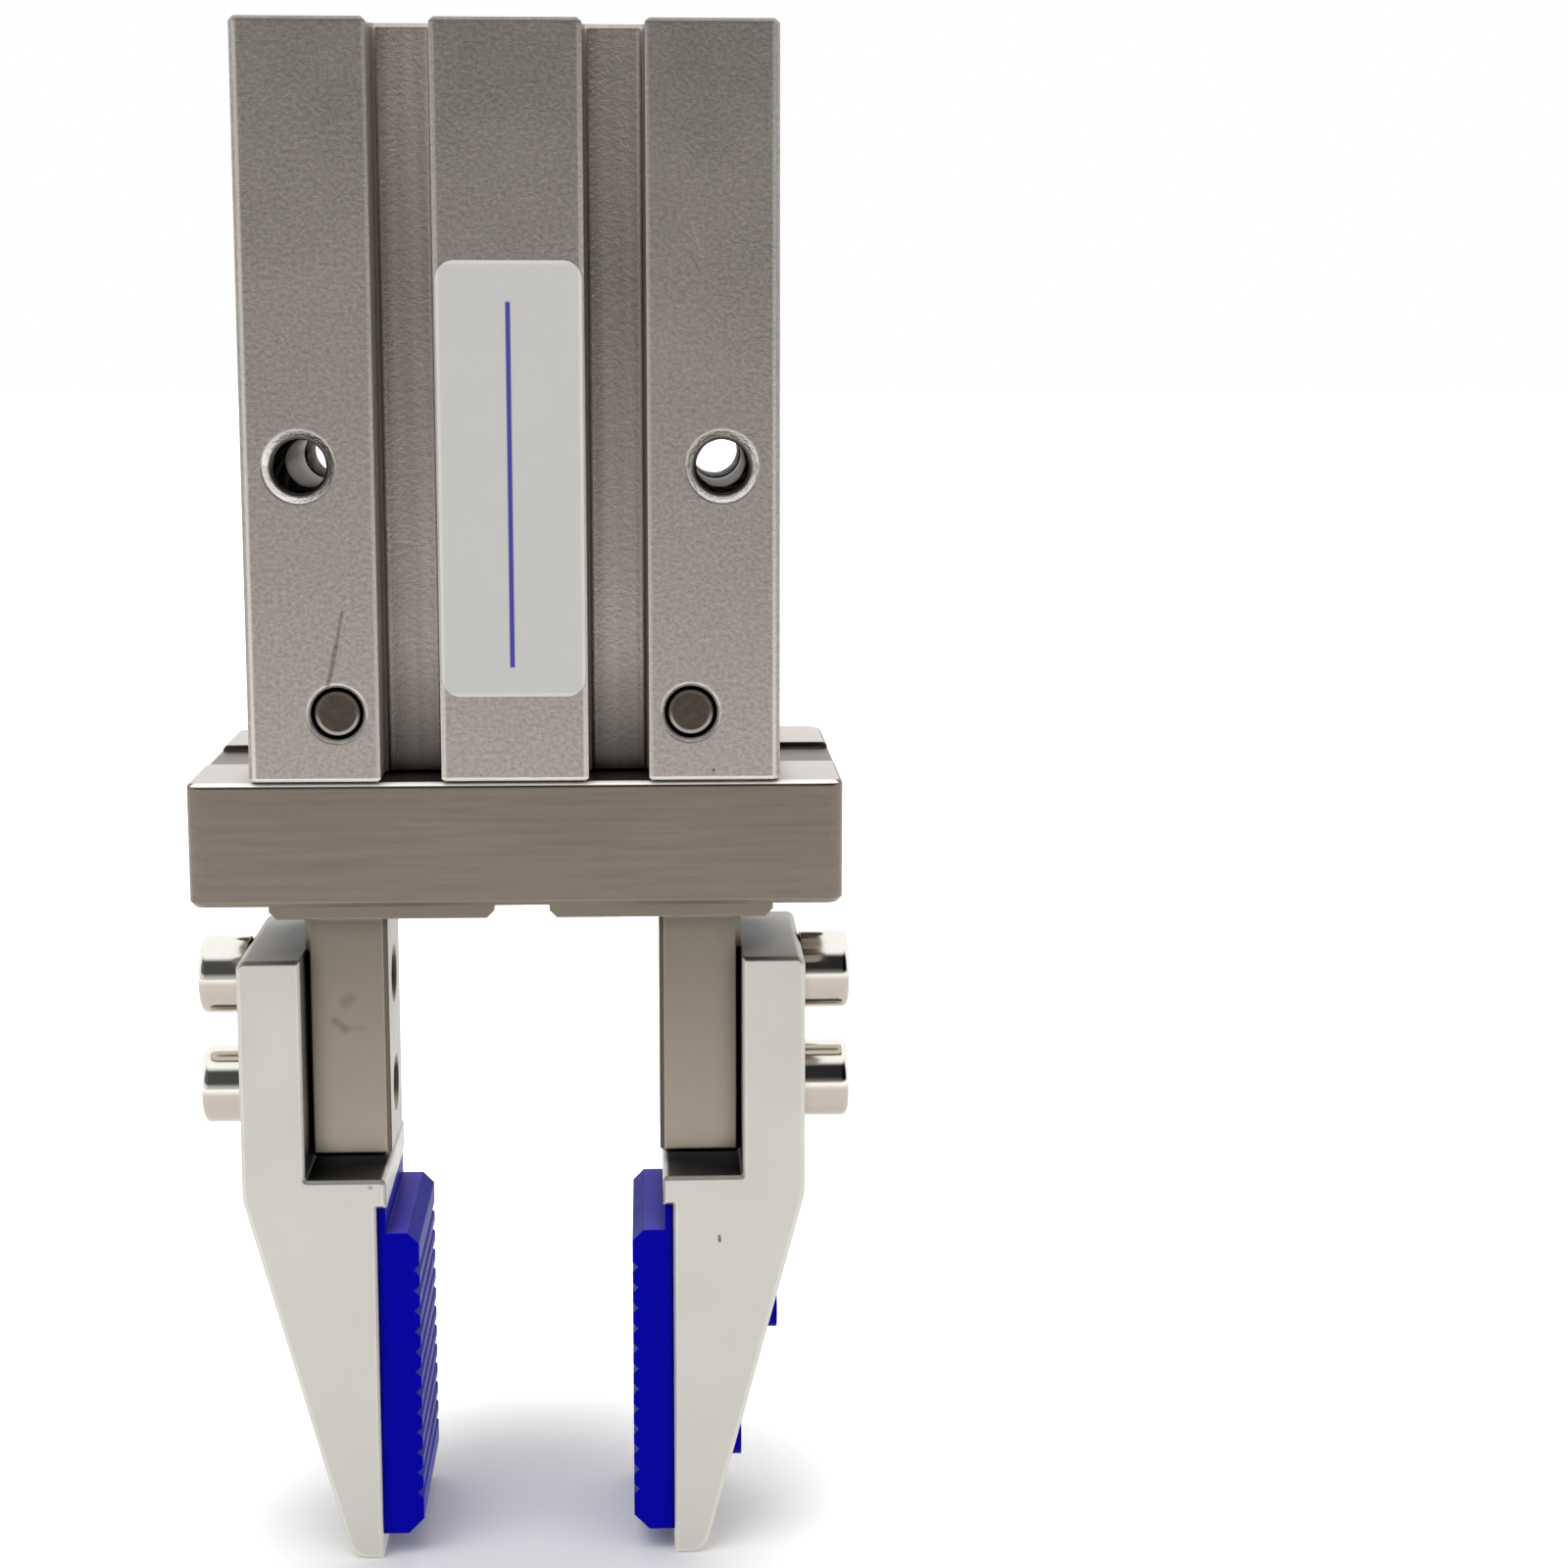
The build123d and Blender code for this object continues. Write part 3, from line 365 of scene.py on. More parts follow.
plateLook = {"name": "satinAluminium", "color": rgb(194, 191, 184), "metallic": 1.0, "roughness": 0.38,
             "scale": 3000.0, "contrast": 0.05, "cloud": 0.06, "depth": 0.003,
             "edgeColor": rgb(240, 238, 234), "edgeWidth": 0.16, "edgeAmount": 0.6,
             "deepColor": rgb(10, 9, 8), "deepReach": 4.5, "deepAmount": 1.0, "deepPower": 2.2,
             "deepAbove": (-86, -80),
             "marks": [((11.81, -7.0, -71.9), (11.84, -7.0, -72.2), 0.05, 0.1, rgb(70, 62, 58), 0.9),
                       ((-9.35, -7.0, -68.55), (-9.3, -7.0, -68.57), 0.06, 0.12, rgb(120, 114, 108), 0.7)]}
nickelLook = {"name": "brightNickel", "color": rgb(248, 246, 238), "undersideShadeColor": rgb(176, 167, 157),
              "metallic": 1.0, "roughness": 0.1, "scale": 1500.0, "contrast": 0.05, "cloud": 0.06, "depth": 0.001,
              "edgeColor": rgb(240, 238, 234), "edgeWidth": 0.15, "edgeAmount": 0.4,
              "deepColor": rgb(20, 18, 16), "deepReach": 0.8, "deepAmount": 0.5}
darkLook = {"name": "blackenedSteel", "color": rgb(84, 79, 74), "metallic": 1.0, "roughness": 0.36,
            "scale": 4000.0, "contrast": 0.3, "cloud": 0.3, "depth": 0.004,
            "edgeColor": rgb(160, 154, 148), "edgeWidth": 0.14, "edgeAmount": 0.6,
            "deepColor": rgb(4, 3, 3), "deepReach": 0.7, "deepAmount": 0.9}
shaftLook = {**darkLook, "name": "groundShaftEnd", "color": rgb(80, 72, 64), "contrast": 0.9, "scale": 2200.0,
             "edgeAmount": 0.0, "bevel": (1.08, 1.26), "bevelHighlightColor": rgb(176, 168, 166), "ringShadowColor": rgb(5, 4, 4)}
padLook = {"name": "blueMouldedPad", "color": rgb(3, 2, 160), "litTopColor": rgb(84, 76, 206), "topLevel": -75.0,
           "metallic": 0.0, "roughness": 0.4,
           "scale": 2500.0, "contrast": 0.06, "cloud": 0.08, "depth": 0.004,
           "edgeColor": rgb(40, 34, 176), "edgeWidth": 0.16, "edgeAmount": 0.35,
           "deepColor": rgb(0, 0, 60), "deepReach": 1.0, "deepAmount": 0.7, "shader": {"Specular IOR Level": 0.03}}
rubberLook = {"name": "sealRubber", "color": rgb(28, 28, 28), "metallic": 0.0, "roughness": 0.6,
              "scale": 2500.0, "contrast": 0.1, "cloud": 0.1, "depth": 0.004}
turnedLook = {"name": "turnedAluminium", "color": rgb(205, 205, 203), "metallic": 1.0, "roughness": 0.34,
              "scale": 1800.0, "contrast": 0.1, "cloud": 0.05, "depth": 0.003,
              "edgeColor": rgb(235, 235, 232), "edgeWidth": 0.15, "edgeAmount": 0.5,
              "deepColor": rgb(20, 18, 16), "deepReach": 0.8, "deepAmount": 0.5}


def awayFrom(tree, at, spot, centre):
    # Distance in the plane of X and Z from the two points at centre, left and right of the middle
    across = mathNode(tree, "SUBTRACT", at, mathNode(tree, "ABSOLUTE", at, spot["X"]), centre[0] * millimetre)
    along = mathNode(tree, "SUBTRACT", at, spot["Z"], centre[1] * millimetre)
    squares = mathNode(tree, "ADD", at, mathNode(tree, "MULTIPLY", at, across, across),
                       mathNode(tree, "MULTIPLY", at, along, along))
    return mathNode(tree, "SQRT", at, squares)


def housingZones(tree, color, roughness, metallic):
    # Groove: between its two walls, behind the face and away from both ends. Long streaks along it vary the tone.
    foot, frontFace = solidPlaces["foot"], solidPlaces["face"]
    place = objectSpace(tree, (-2300, -500))
    spot = axes(tree, (-2100, -500), place)
    sideways = mathNode(tree, "ABSOLUTE", (-1900, -400), spot["X"])
    inwards = mathNode(tree, "ABSOLUTE", (-1900, -600), spot["Y"])
    groove = allOf(tree, (-1300, -500),
                   between(tree, (-1700, -400), sideways, grooveLook["inner"], grooveLook["outer"], 0.02),
                   between(tree, (-1700, -700), inwards, -1, grooveLook["mouth"], 0.04),
                   between(tree, (-1700, -1000), spot["Z"], foot + 0.03, -0.03, 0.01))
    streak = rangeNode(tree, (-1700, -1300), noise(tree, (-1900, -1300), scaledSpace(
        tree, (-2100, -1300), place, (1, 1, 0.02)), 1500.0, 3.0), 0.3, 0.7, 0.88, 1.12)
    # Painted shade towards the rail and painted light towards the top of the groove
    nearRail = rangeNode(tree, (-1700, -1500), spot["Z"], foot * millimetre,
                         (foot + grooveLook["endReach"]) * millimetre, 1, 0, smooth=True)
    nearTop = rangeNode(tree, (-1700, -1700), spot["Z"], -grooveLook["topReach"] * millimetre, 0.0, 0, 1, smooth=True)
    length = mixColor(tree, (-1650, -1600), nearTop, grooveLook["color"], grooveLook["litTopColor"])
    grooveStreaksAndPaintedLight = vectorNode(tree, "SCALE", (-1500, -1300), mixColor(
        tree, (-1600, -1500), nearRail, length, grooveLook["railEndShadeColor"]), streak)
    color = mixColor(tree, (-1050, -100), groove, color, grooveStreaksAndPaintedLight)
    roughness = mathNode(tree, "ADD", (-900, -300), roughness, mathNode(
        tree, "MULTIPLY", (-1000, -300), groove, grooveLook["roughness"] - housingLook["roughness"]))
    # Light rim and dark seam at the foot: a painted highlight above a painted shadow
    outside = oneMinus(tree, (-1000, -600), groove)
    rim = allOf(tree, (-900, -800), outside, between(
        tree, (-1300, -800), spot["Z"], foot + grooveLook["seamShadow"], foot + grooveLook["rim"], 0.03))
    seamShadow = between(tree, (-1300, -1100), spot["Z"], foot - 1, foot + grooveLook["seamShadow"], 0.02)
    color = mixColor(tree, (-900, -100), rim, color, grooveLook["rimHighlightColor"])
    # Lips and top edge of the lands; the lips are painted highlights
    face = stepUp(tree, (-1300, -1400), inwards, frontFace - 0.1, frontFace - 0.05)
    for step, (low, high, strength) in enumerate(landLook["lipHighlights"]):
        lipHighlight = mathNode(tree, "MULTIPLY", (-900, -1500), allOf(tree, (-1100, -1500), face, outside, between(
            tree, (-1500, -1500 - 300 * step), sideways, low, high, 0.05)), strength)
        color = mixColor(tree, (-850, -1500), lipHighlight, color, landLook["lipHighlightColor"])
    crest = allOf(tree, (-900, -2400), face, between(tree, (-1300, -2400), spot["Z"], -landLook["crest"], 1, 0.03))
    color = mixColor(tree, (-850, -2400), crest, color, landLook["crestColor"])
    # Uneven painted highlight round the lever shafts' holes
    wobble = mathNode(tree, "MULTIPLY", (-1500, -2700), mathNode(tree, "SUBTRACT", (-1600, -2700), noise(
        tree, (-1800, -2700), place, 1100.0, 2.0), 0.5), landLook["shaftRimWobble"] * millimetre)
    shaftRimAway = mathNode(tree, "ADD", (-1300, -2700), awayFrom(
        tree, (-1500, -2900), spot, landLook["shaftAt"]), wobble)
    shaftRimHighlight = mathNode(tree, "MULTIPLY", (-900, -2700), face, between(
        tree, (-1200, -2700), shaftRimAway, *landLook["shaftRimHighlight"], 0.03))
    color = mixColor(tree, (-850, -2700), shaftRimHighlight, color, landLook["shaftRimHighlightColor"])
    # Countersinks with a painted highlight, brighter on the lower side
    sink = allOf(tree, (-900, -3000), stepUp(tree, (-1100, -3000), inwards, frontFace - 0.9, frontFace - 0.8),
                 between(tree, (-1200, -3200), awayFrom(tree, (-1500, -3200), spot, landLook["holeAt"]),
                         *landLook["sink"], 0.02),
                 oneMinus(tree, (-900, -3100), stepUp(
                     tree, (-1100, -3400), inwards, frontFace - 0.06, frontFace - 0.01)))
    holeLevel = landLook["holeAt"][1]
    sinkHighlight = rangeNode(tree, (-900, -3400), spot["Z"], (holeLevel - 1.55) * millimetre,
                       (holeLevel + 1.45) * millimetre, 1.0, landLook["sinkTop"])
    color = mixColor(tree, (-700, -3000), sink, color, vectorNode(
        tree, "SCALE", (-800, -3400), landLook["sinkHighlightColor"][:3], sinkHighlight))
    roughness = mathNode(tree, "ADD", (-600, -3000), roughness, mathNode(
        tree, "MULTIPLY", (-700, -3100), sink, landLook["sinkRoughness"] - housingLook["roughness"]))
    # The grooves' side walls are matt, in a darker colour that paints the shade in the grooves
    inner, outer = grooveLook["inner"], grooveLook["outer"]
    eitherWall = mathNode(tree, "MAXIMUM", (-1000, -3700),
                          between(tree, (-1400, -3700), sideways, outer - 0.12, outer + 0.13, 0.04),
                          between(tree, (-1400, -3900), sideways, inner - 0.14, inner + 0.11, 0.04))
    walls = mathNode(tree, "MULTIPLY", (-900, -3700), eitherWall, oneMinus(tree, (-1200, -4100), stepUp(
        tree, (-1400, -4100), inwards, frontFace - 0.2, frontFace - 0.14)))
    color = mixColor(tree, (-650, -3700), walls, color, grooveLook["wallShadeColor"])
    metallic = oneMinus(tree, (-500, -3700), mathNode(
        tree, "MULTIPLY", (-600, -3700), walls, grooveLook["wallMatt"]))
    return mixColor(tree, (-600, -100), seamShadow, color, grooveLook["seamShadowColor"]), roughness, metallic


def railZones(tree, color, roughness, metallic):
    # Ground top face painted lighter for the light from above, and a matt, light rim along its front and back edges
    # that paints a highlight
    spot = axes(tree, (-1900, -500), objectSpace(tree, (-2100, -500)))
    inwards = mathNode(tree, "ABSOLUTE", (-1700, -600), spot["Y"])
    level, edge = solidPlaces["foot"], solidPlaces["face"] - railLook["rimDepth"]
    top = stepUp(tree, (-1500, -500), spot["Z"], level - 0.06, level - 0.02)
    rim = mathNode(tree, "MULTIPLY", (-1200, -800),
                   between(tree, (-1500, -800), spot["Z"], level - railLook["rim"], level + 1, 0.03),
                   stepUp(tree, (-1500, -1100), inwards, edge, edge + 0.05))
    color = mixColor(tree, (-1000, -500), top, color, railLook["litTopColor"])
    metallic = oneMinus(tree, (-800, -700), mathNode(tree, "MULTIPLY", (-900, -700), rim, railLook["rimMatt"]))
    return mixColor(tree, (-900, -500), rim, color, railLook["rimHighlightColor"]), roughness, metallic


def fingerZones(tree, color, roughness, metallic):
    # Painted shade: darker under the rail, lighter towards the tip
    spot = axes(tree, (-1900, -500), objectSpace(tree, (-2100, -500)))
    shade = rangeNode(tree, (-1500, -500), spot["Z"], solidPlaces["fingerTip"] * millimetre,
                      solidPlaces["fingerRoot"] * millimetre, *fingerLook["shades"])
    return vectorNode(tree, "SCALE", (-1100, -500), color, shade), roughness, metallic


def nickelZones(tree, color, roughness, metallic):
    # Painted shade: the undersides of the heads are darker than their tops
    facing = axes(tree, (-1900, -500), newNode(tree, "ShaderNodeNewGeometry", (-2100, -500)).outputs["Normal"])
    down = rangeNode(tree, (-1500, -500), facing["Z"], -0.1, 0.2, 1, 0, smooth=True)
    return mixColor(tree, (-1100, -500), down, color, nickelLook["undersideShadeColor"]), roughness, metallic


def padZones(tree, color, roughness, metallic):
    # Painted light: the top facet is paler
    facing = axes(tree, (-1900, -500), newNode(tree, "ShaderNodeNewGeometry", (-2100, -500)).outputs["Normal"])
    spot = axes(tree, (-1900, -700), objectSpace(tree, (-2100, -700)))
    up = mathNode(tree, "MULTIPLY", (-1300, -500), rangeNode(tree, (-1500, -500), facing["Z"], 0.75, 0.9, 0, 1),
                  stepUp(tree, (-1500, -800), spot["Z"], padLook["topLevel"], padLook["topLevel"] + 1))
    return mixColor(tree, (-1100, -500), up, color, padLook["litTopColor"]), roughness, metallic


def shaftZones(tree, color, roughness, metallic):
    # Ground end with a painted highlight on the bevel low down on one side, in a black ring of painted shadow
    spot = axes(tree, (-1900, -500), objectSpace(tree, (-2100, -500)))
    away = awayFrom(tree, (-1700, -500), spot, landLook["shaftAt"])
    bevel = between(tree, (-1300, -500), away, *shaftLook["bevel"], 0.04)
    middle = landLook["shaftAt"][1]
    low = rangeNode(tree, (-1300, -900), spot["Z"], (middle - 0.65) * millimetre, (middle + 0.15) * millimetre,
                    1, 0.1, smooth=True)
    color = mixColor(tree, (-900, -500), mathNode(tree, "MULTIPLY", (-1000, -700), bevel, low), color,
                     shaftLook["bevelHighlightColor"])
    ring = stepUp(tree, (-1000, -1000), away, shaftLook["bevel"][1] - 0.02, shaftLook["bevel"][1] + 0.05)
    return mixColor(tree, (-800, -500), ring, color, shaftLook["ringShadowColor"]), roughness, metallic


finishes = {look["name"]: finishMaterial(look, zones) for look, zones in (
    (housingLook, housingZones), (railLook, railZones), (fingerLook, fingerZones), (plateLook, None),
    (nickelLook, nickelZones), (darkLook, None), (shaftLook, shaftZones), (padLook, padZones), (rubberLook, None),
    (turnedLook, None))}

nodeFinishes = {
    "blastedAluminium": ["body"],
    "groundRailSteel": ["rail"],
    "groundFingerSteel": ["left_finger", "right_finger"],
    "satinAluminium": ["left_jaw_plate", "right_jaw_plate"],
    "brightNickel": ["left_plate_screws", "right_plate_screws", "steel_balls", "ball_stops", "joint_pin"],
    "blackenedSteel": ["rail_screws", "retaining_ring", "rod_joint", "left_lever", "right_lever"],
    "groundShaftEnd": ["left_lever_shaft", "right_lever_shaft"],
    "blueMouldedPad": ["left_pad", "right_pad"],
    "sealRubber": ["cap_seal", "bumper", "rod_seal", "piston_seal", "magnet"],
    "turnedAluminium": ["rear_cap", "seal_retainer", "piston"],
}
for finish, members in nodeFinishes.items():
    for member in members:
        nodes[member].data.materials.clear()
        nodes[member].data.materials.append(finishes[finish])
print("finishes ready")


def meshFromGrid(name, points, wrapRows, wrapColumns, material):
    # Quads between neighbours of a grid of points. A wrapped direction joins its last line to its first.
    rows, columns = points.shape[:2]
    rowStart = np.arange(rows if wrapRows else rows - 1)
    columnStart = np.arange(columns if wrapColumns else columns - 1)
    r, c = np.meshgrid(rowStart, columnStart, indexing="ij")
    nextRow, nextColumn = (r + 1) % rows, (c + 1) % columns
    quads = np.stack([r * columns + c, r * columns + nextColumn, nextRow * columns + nextColumn,
                      nextRow * columns + c], axis=-1).reshape(-1, 4)
    mesh = bpy.data.meshes.new(name)
    mesh.from_pydata(points.reshape(-1, 3).tolist(), [], quads.tolist())
    mesh.update()
    mesh.materials.append(material)
    mesh.shade_smooth()
    piece = bpy.data.objects.new(name, mesh)
    scene.collection.objects.link(piece)
    return piece


def finishPiece(piece, body):
    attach(piece, body)
    return piece


# Label on the land between the sensor grooves: a thin plate with round corners and one fine line
labelSizes = {"width": 8.28, "top": -13.3, "bottom": -38.0, "corner": 1.1, "thickness": 0.12, "edge": 0.05,
              "cornerSteps": 12, "paper": rgb(194, 192, 188), "line": rgb(66, 60, 146), "rim": rgb(208, 206, 199),
              "rimWidth": 0.22, "lineLeft": -0.20, "lineRight": 0.08, "lineTop": -15.6, "lineBottom": -36.3}


def makeLabelMaterial(sizes):
    material = bpy.data.materials.new("labelPaper")
    material.use_nodes = True
    tree = material.node_tree
    shader = tree.nodes["Principled BSDF"]
    grain = placeGroup(tree, grainGroup, (-900, 0), Color=sizes["paper"], Scale=900.0, Contrast=0.03, Cloud=0.04,
                       Depth=0.000002, Roughness=0.45, Edge_Width=0.00004)
    spot = axes(tree, (-1500, -300), objectSpace(tree, (-1700, -300)))
    line = allOf(tree, (-600, -500),
                 between(tree, (-1100, -300), spot["X"], sizes["lineLeft"], sizes["lineRight"], 0.04),
                 between(tree, (-1100, -700), spot["Z"], sizes["lineBottom"], sizes["lineTop"], 0.06))
    half, rim = sizes["width"] / 2, sizes["rimWidth"]
    inside = allOf(tree, (-600, -900), between(tree, (-1100, -1000), spot["X"], rim - half, half - rim, 0.05),
                   between(tree, (-1100, -1300), spot["Z"], sizes["bottom"] + rim, sizes["top"] - rim, 0.05))
    paper = mixColor(tree, (-500, 0), inside, sizes["rim"], grain.outputs["Color"])
    feed(tree, shader.inputs["Base Color"], mixColor(tree, (-200, 0), line, paper, sizes["line"]))
    feed(tree, shader.inputs["Roughness"], grain.outputs["Roughness"])
    feed(tree, shader.inputs["Normal"], grain.outputs["Normal"])
    shader.inputs["Specular IOR Level"].default_value = 0.3
    return material


def makeLabel(sizes):
    # Rounded rectangle carried through five levels from the back to the raised middle of the front. Each point is
    # the corner's centre plus the corner radius, less the level's inset, along the point's angle.
    steps = sizes["cornerSteps"]
    angles = np.linspace(0, math.pi / 2, steps)[None, :] + (np.arange(4) * math.pi / 2)[:, None]
    halfWidth = sizes["width"] / 2 - sizes["corner"]
    halfHeight = (sizes["top"] - sizes["bottom"]) / 2 - sizes["corner"]
    signX = np.array([1, -1, -1, 1])[:, None]
    signZ = np.array([1, 1, -1, -1])[:, None]
    middle = (sizes["top"] + sizes["bottom"]) / 2
    levels = [(sizes["corner"], 0.0), (0.0, -0.005), (0.0, -sizes["thickness"] + sizes["edge"]),
              (sizes["edge"], -sizes["thickness"]), (sizes["corner"], -sizes["thickness"])]
    rings = []
    for inset, out in levels:
        radius = sizes["corner"] - inset
        x = (signX * halfWidth + radius * np.cos(angles)).ravel()
        z = (middle + signZ * halfHeight + radius * np.sin(angles)).ravel()
        rings.append(np.stack([x, np.full_like(x, out - solidPlaces["face"]), z], axis=-1))
    points = np.array(rings) * millimetre
    piece = meshFromGrid("label", points, False, True, makeLabelMaterial(sizes))
    closeEnds(piece, points)
    return finishPiece(piece, "base")


def closeEnds(piece, points):
    # A flat face over the first and the last ring of a tube of rings
    rows, columns = points.shape[:2]
    mesh = piece.data
    faces = [tuple(face.vertices) for face in mesh.polygons]
    first = tuple(range(columns))
    last = tuple(range((rows - 1) * columns, rows * columns))
    mesh.clear_geometry()  # the material stays
    mesh.from_pydata(points.reshape(-1, 3).tolist(), [], faces + [first[::-1], last])
    mesh.update()


# Threads in the tapped holes and ports: a sleeve whose inner wall is a screw ridge
threadSizes = {"pitch": 0.7, "depth": 0.16, "radius": 1.645, "wall": 0.012, "perTurn": 10, "around": 64,
               "sideX": 12.0, "sideZ": -24.85, "sideStart": 0.55, "sideLength": 6.3,
               "rearLength": 5.6, "portRadius": 2.095, "portPitch": 0.8, "portLength": 4.1,
               "portLevels": (-10.2, -19.0)}


def makeThread(name, mouth, inward, radius, pitch, length, sizes, material):
    # Sleeve along inward from mouth. The inner wall's radius is the bore's radius less the ridge, a triangle wave
    # of length along the hole over pitch, less the angle's share of a turn; it fades at both ends.
    inward = Vector(inward).normalized()
    sideways = inward.orthogonal().normalized()
    upward = inward.cross(sideways)
    rows = int(length / pitch * sizes["perTurn"])
    along = np.linspace(0, length, rows)
    angle = np.linspace(0, 2 * math.pi, sizes["around"], endpoint=False)
    phase = (along[:, None] / pitch - angle[None, :] / (2 * math.pi)) % 1.0
    ridge = 1 - np.abs(2 * phase - 1)
    fade = np.clip(np.minimum(along, length - along) / (0.6 * pitch), 0, 1)[:, None]
    inner = radius - sizes["wall"] - sizes["depth"] * ridge * fade
    outer = np.full((2, sizes["around"]), radius)
    reach = np.concatenate([inner, outer])
    depth = np.concatenate([along, [length, 0.0]])
    circle = np.cos(angle)[:, None] * np.array(sideways) + np.sin(angle)[:, None] * np.array(upward)
    points = np.array(mouth) + depth[:, None, None] * np.array(inward) + reach[:, :, None] * circle[None]
    return meshFromGrid(name, points * millimetre, True, True, material)


def makeThreads(sizes):
    # The thread is darker than the housing: painted shade inside the holes
    threadFinish = finishMaterial({**housingLook, "name": "cutThread", "color": rgb(86, 81, 76), "edgeAmount": 0.0,
                                   "roughness": 0.34, "contrast": 0.1, "marks": []})
    for side, x in (("left", -sizes["sideX"]), ("right", sizes["sideX"])):
        for face, inward in (("front", 1), ("back", -1)):
            y = -inward * (solidPlaces["face"] - sizes["sideStart"])
            piece = makeThread(f"{side}_{face}_thread", (x, y, sizes["sideZ"]), (0, inward, 0), sizes["radius"],
                               sizes["pitch"], sizes["sideLength"], sizes, threadFinish)
            finishPiece(piece, "base")
        piece = makeThread(f"{side}_rear_thread", (x, 0, -sizes["sideStart"]), (0, 0, -1), sizes["radius"],
                           sizes["pitch"], sizes["rearLength"], sizes, threadFinish)
        finishPiece(piece, "base")
    for name, level in zip(("rear", "front"), sizes["portLevels"]):
        piece = makeThread(f"{name}_port_thread", (solidPlaces["halfWidth"] - sizes["sideStart"], 0, level),
                           (-1, 0, 0), sizes["portRadius"], sizes["portPitch"], sizes["portLength"], sizes,
                           threadFinish)
        finishPiece(piece, "base")


makeLabel(labelSizes)
makeThreads(threadSizes)
print("label and threads ready")

# White room: the background is white to the camera and behind the object in reflections. In front of the object,
# between the levels darkFrom and darkTo, the room that the metal shows is darker, most of all on the right and above
# darkCore. The floor glows from glowReach on, where the lamps' light fades, and in reflections up to shineReach.
# The floor's level and the reaches are in millimetres, its size in metres.
roomLook = {"worldLight": 0.47, "reflection": 1.0, "darkLeft": 0.8, "darkRight": 0.0, "darkFrom": (-0.1, 0.06),
            "darkTo": (0.74, 0.9), "darkFront": (0.1, 0.5), "darkAcross": (-0.4, 0.15), "darkCore": (0.05, 0.25),
            "coreShare": 0.15, "floorLevel": -92.35, "floorSize": 6.0, "floorColor": (0.9, 0.9, 0.9, 1),
            "glowNear": 0.0, "glowFar": 0.85, "glowReach": (8, 36), "shineNear": 0.48, "shineFar": 0.0,
            "shineReach": (300, 900)}


def makeWorld(room):
    world = bpy.data.worlds.new("whiteRoom")
    scene.world = world
    world.use_nodes = True
    tree = world.node_tree
    tree.nodes.clear()
    path = newNode(tree, "ShaderNodeLightPath", (-800, 300))
    direction = axes(tree, (-600, -200), newNode(tree, "ShaderNodeTexCoord", (-800, -200)).outputs["Generated"])
    dark = allOf(tree, (-200, -300),
                 rangeNode(tree, (-400, -200), direction["Z"], *room["darkFrom"], 0.0, 1.0, smooth=True),
                 rangeNode(tree, (-400, -400), direction["Z"], *room["darkTo"], 1.0, 0.0, smooth=True),
                 rangeNode(tree, (-400, -600), mathNode(tree, "MULTIPLY", (-500, -600), direction["Y"], -1.0),
                           *room["darkFront"], 0.0, 1.0, smooth=True))
    darkest = mathNode(tree, "MULTIPLY", (-100, -700), rangeNode(
        tree, (-200, -600), direction["X"], *room["darkAcross"], room["darkLeft"], room["darkRight"]), rangeNode(
        tree, (-200, -800), direction["Z"], *room["darkCore"], 1.0, room["coreShare"], smooth=True))
    level = rangeNode(tree, (0, -200), dark, 0.0, 1.0, room["reflection"], darkest)
    glossy = mathNode(tree, "MAXIMUM", (-400, 100), path.outputs["Is Glossy Ray"],
                      path.outputs["Is Transmission Ray"])
    shine = mathNode(tree, "ADD", (300, 100), mathNode(tree, "MULTIPLY", (200, 100), glossy, level), mathNode(
        tree, "MULTIPLY", (200, 0), oneMinus(tree, (100, 0), glossy), room["worldLight"]))
    seen = path.outputs["Is Camera Ray"]
    strength = mathNode(tree, "MAXIMUM", (500, 100), seen, mathNode(
        tree, "MULTIPLY", (450, 0), shine, oneMinus(tree, (400, -100), seen)))
    background = newNode(tree, "ShaderNodeBackground", (700, 0))
    background.inputs["Color"].default_value = (1, 1, 1, 1)
    feed(tree, background.inputs["Strength"], strength)
    out = newNode(tree, "ShaderNodeOutputWorld", (900, 0))
    feed(tree, out.inputs["Surface"], background.outputs[0])


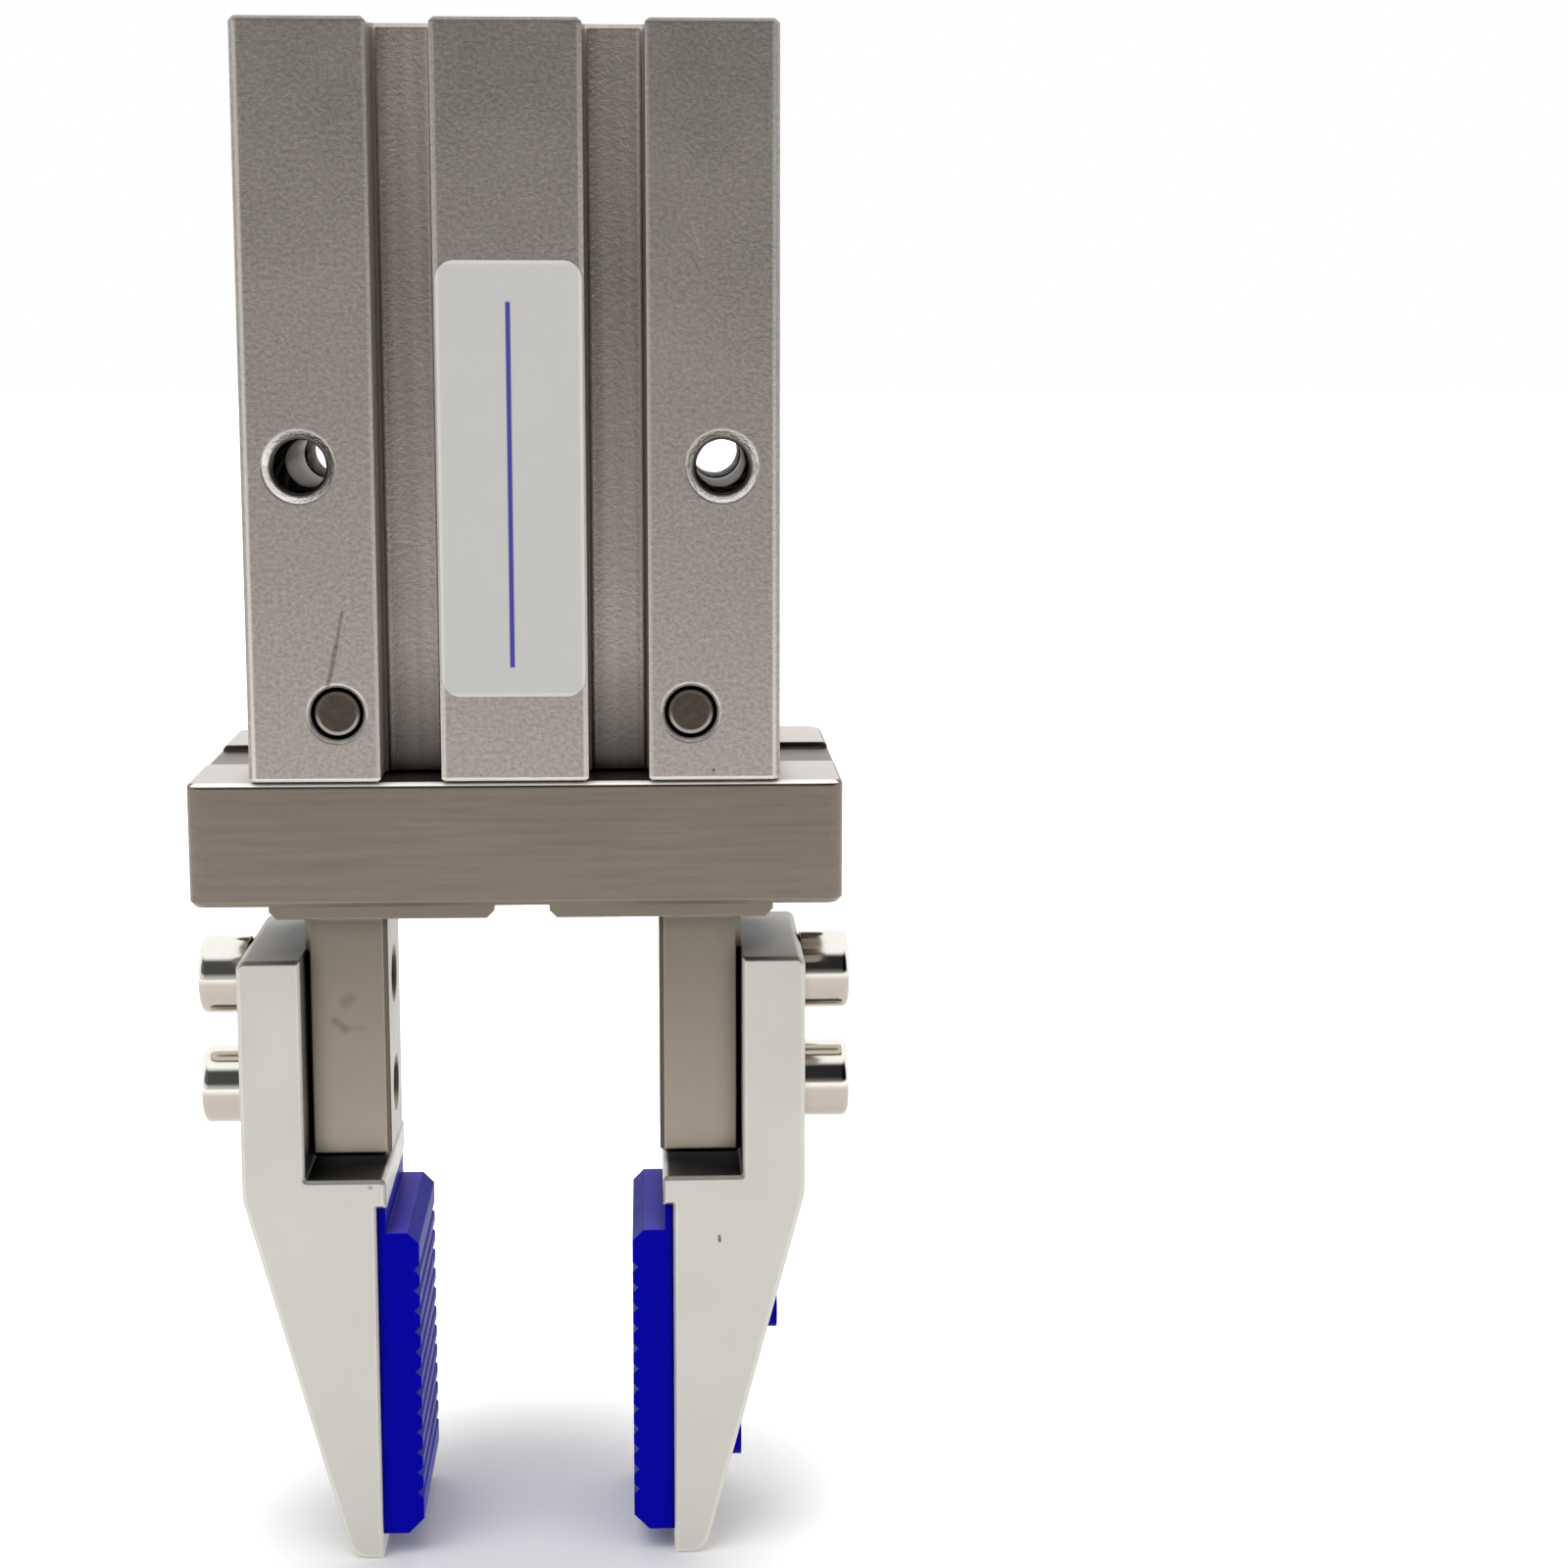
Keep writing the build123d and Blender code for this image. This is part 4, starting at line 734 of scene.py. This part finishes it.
def makeFloor(room):
    half = room["floorSize"] / 2
    level = room["floorLevel"] * millimetre
    mesh = bpy.data.meshes.new("floor")
    mesh.from_pydata([(-half, -half, level), (half, -half, level), (half, half, level), (-half, half, level)], [],
                     [(0, 1, 2, 3)])
    material = bpy.data.materials.new("paleFloor")
    material.use_nodes = True
    tree = material.node_tree
    shader = tree.nodes["Principled BSDF"]
    shader.inputs["Base Color"].default_value = room["floorColor"]
    shader.inputs["Roughness"].default_value = 0.6
    shader.inputs["Specular IOR Level"].default_value = 0.2
    shader.inputs["Emission Color"].default_value = (1, 1, 1, 1)
    # The glow grows with the distance from the object and spares its shadow
    away = vectorNode(tree, "LENGTH", (-800, -500), vectorNode(
        tree, "MULTIPLY", (-950, -500), objectSpace(tree, (-1100, -500)), (1, 1, 0)))
    path = newNode(tree, "ShaderNodeLightPath", (-800, -200))
    near, far = (reach * millimetre for reach in room["glowReach"])
    glow = mathNode(tree, "MULTIPLY", (-400, -400), path.outputs["Is Camera Ray"], rangeNode(
        tree, (-600, -500), away, near, far, room["glowNear"], room["glowFar"], smooth=True))
    near, far = (reach * millimetre for reach in room["shineReach"])
    mirrored = mathNode(tree, "MAXIMUM", (-600, -200), path.outputs["Is Glossy Ray"],
                        path.outputs["Is Transmission Ray"])
    shine = mathNode(tree, "MULTIPLY", (-400, -700), mirrored, rangeNode(
        tree, (-600, -800), away, near, far, room["shineNear"], room["shineFar"], smooth=True))
    feed(tree, shader.inputs["Emission Strength"], mathNode(tree, "MAXIMUM", (-200, -200), glow, shine))
    # Seen from below, the floor is clear
    behind = newNode(tree, "ShaderNodeNewGeometry", (-600, 200)).outputs["Backfacing"]
    feed(tree, shader.inputs["Alpha"], oneMinus(tree, (-300, 200), behind))
    mesh.materials.append(material)
    floor = bpy.data.objects.new("floor", mesh)
    scene.collection.objects.link(floor)


# Large, even lamps that the metal doesn't mirror. Places and sizes are in millimetres.
softLamps = [
    {"name": "keyLamp", "at": (-190, -260, 400), "aim": (0, 0, -45), "size": 420, "watts": 1.4},
    {"name": "fillLamp", "at": (330, -300, 60), "aim": (0, 0, -50), "size": 420, "watts": 0.7},
    {"name": "topLamp", "at": (0, 200, 420), "aim": (0, 0, -40), "size": 420, "watts": 0.8},
]


def makeLamps(lamps):
    for lamp in lamps:
        data = bpy.data.lights.new(lamp["name"], "AREA")
        data.shape = "SQUARE"
        data.size = lamp["size"] * millimetre
        data.energy = lamp["watts"]
        place = bpy.data.objects.new(lamp["name"], data)
        scene.collection.objects.link(place)
        place.visible_glossy = False
        at, aim = Vector(lamp["at"]) * millimetre, Vector(lamp["aim"]) * millimetre
        place.matrix_world = Matrix.Translation(at) @ (aim - at).to_track_quat("-Z", "Y").to_matrix().to_4x4()


makeWorld(roomLook)
makeFloor(roomLook)
makeLamps(softLamps)
print("room and lamps ready")
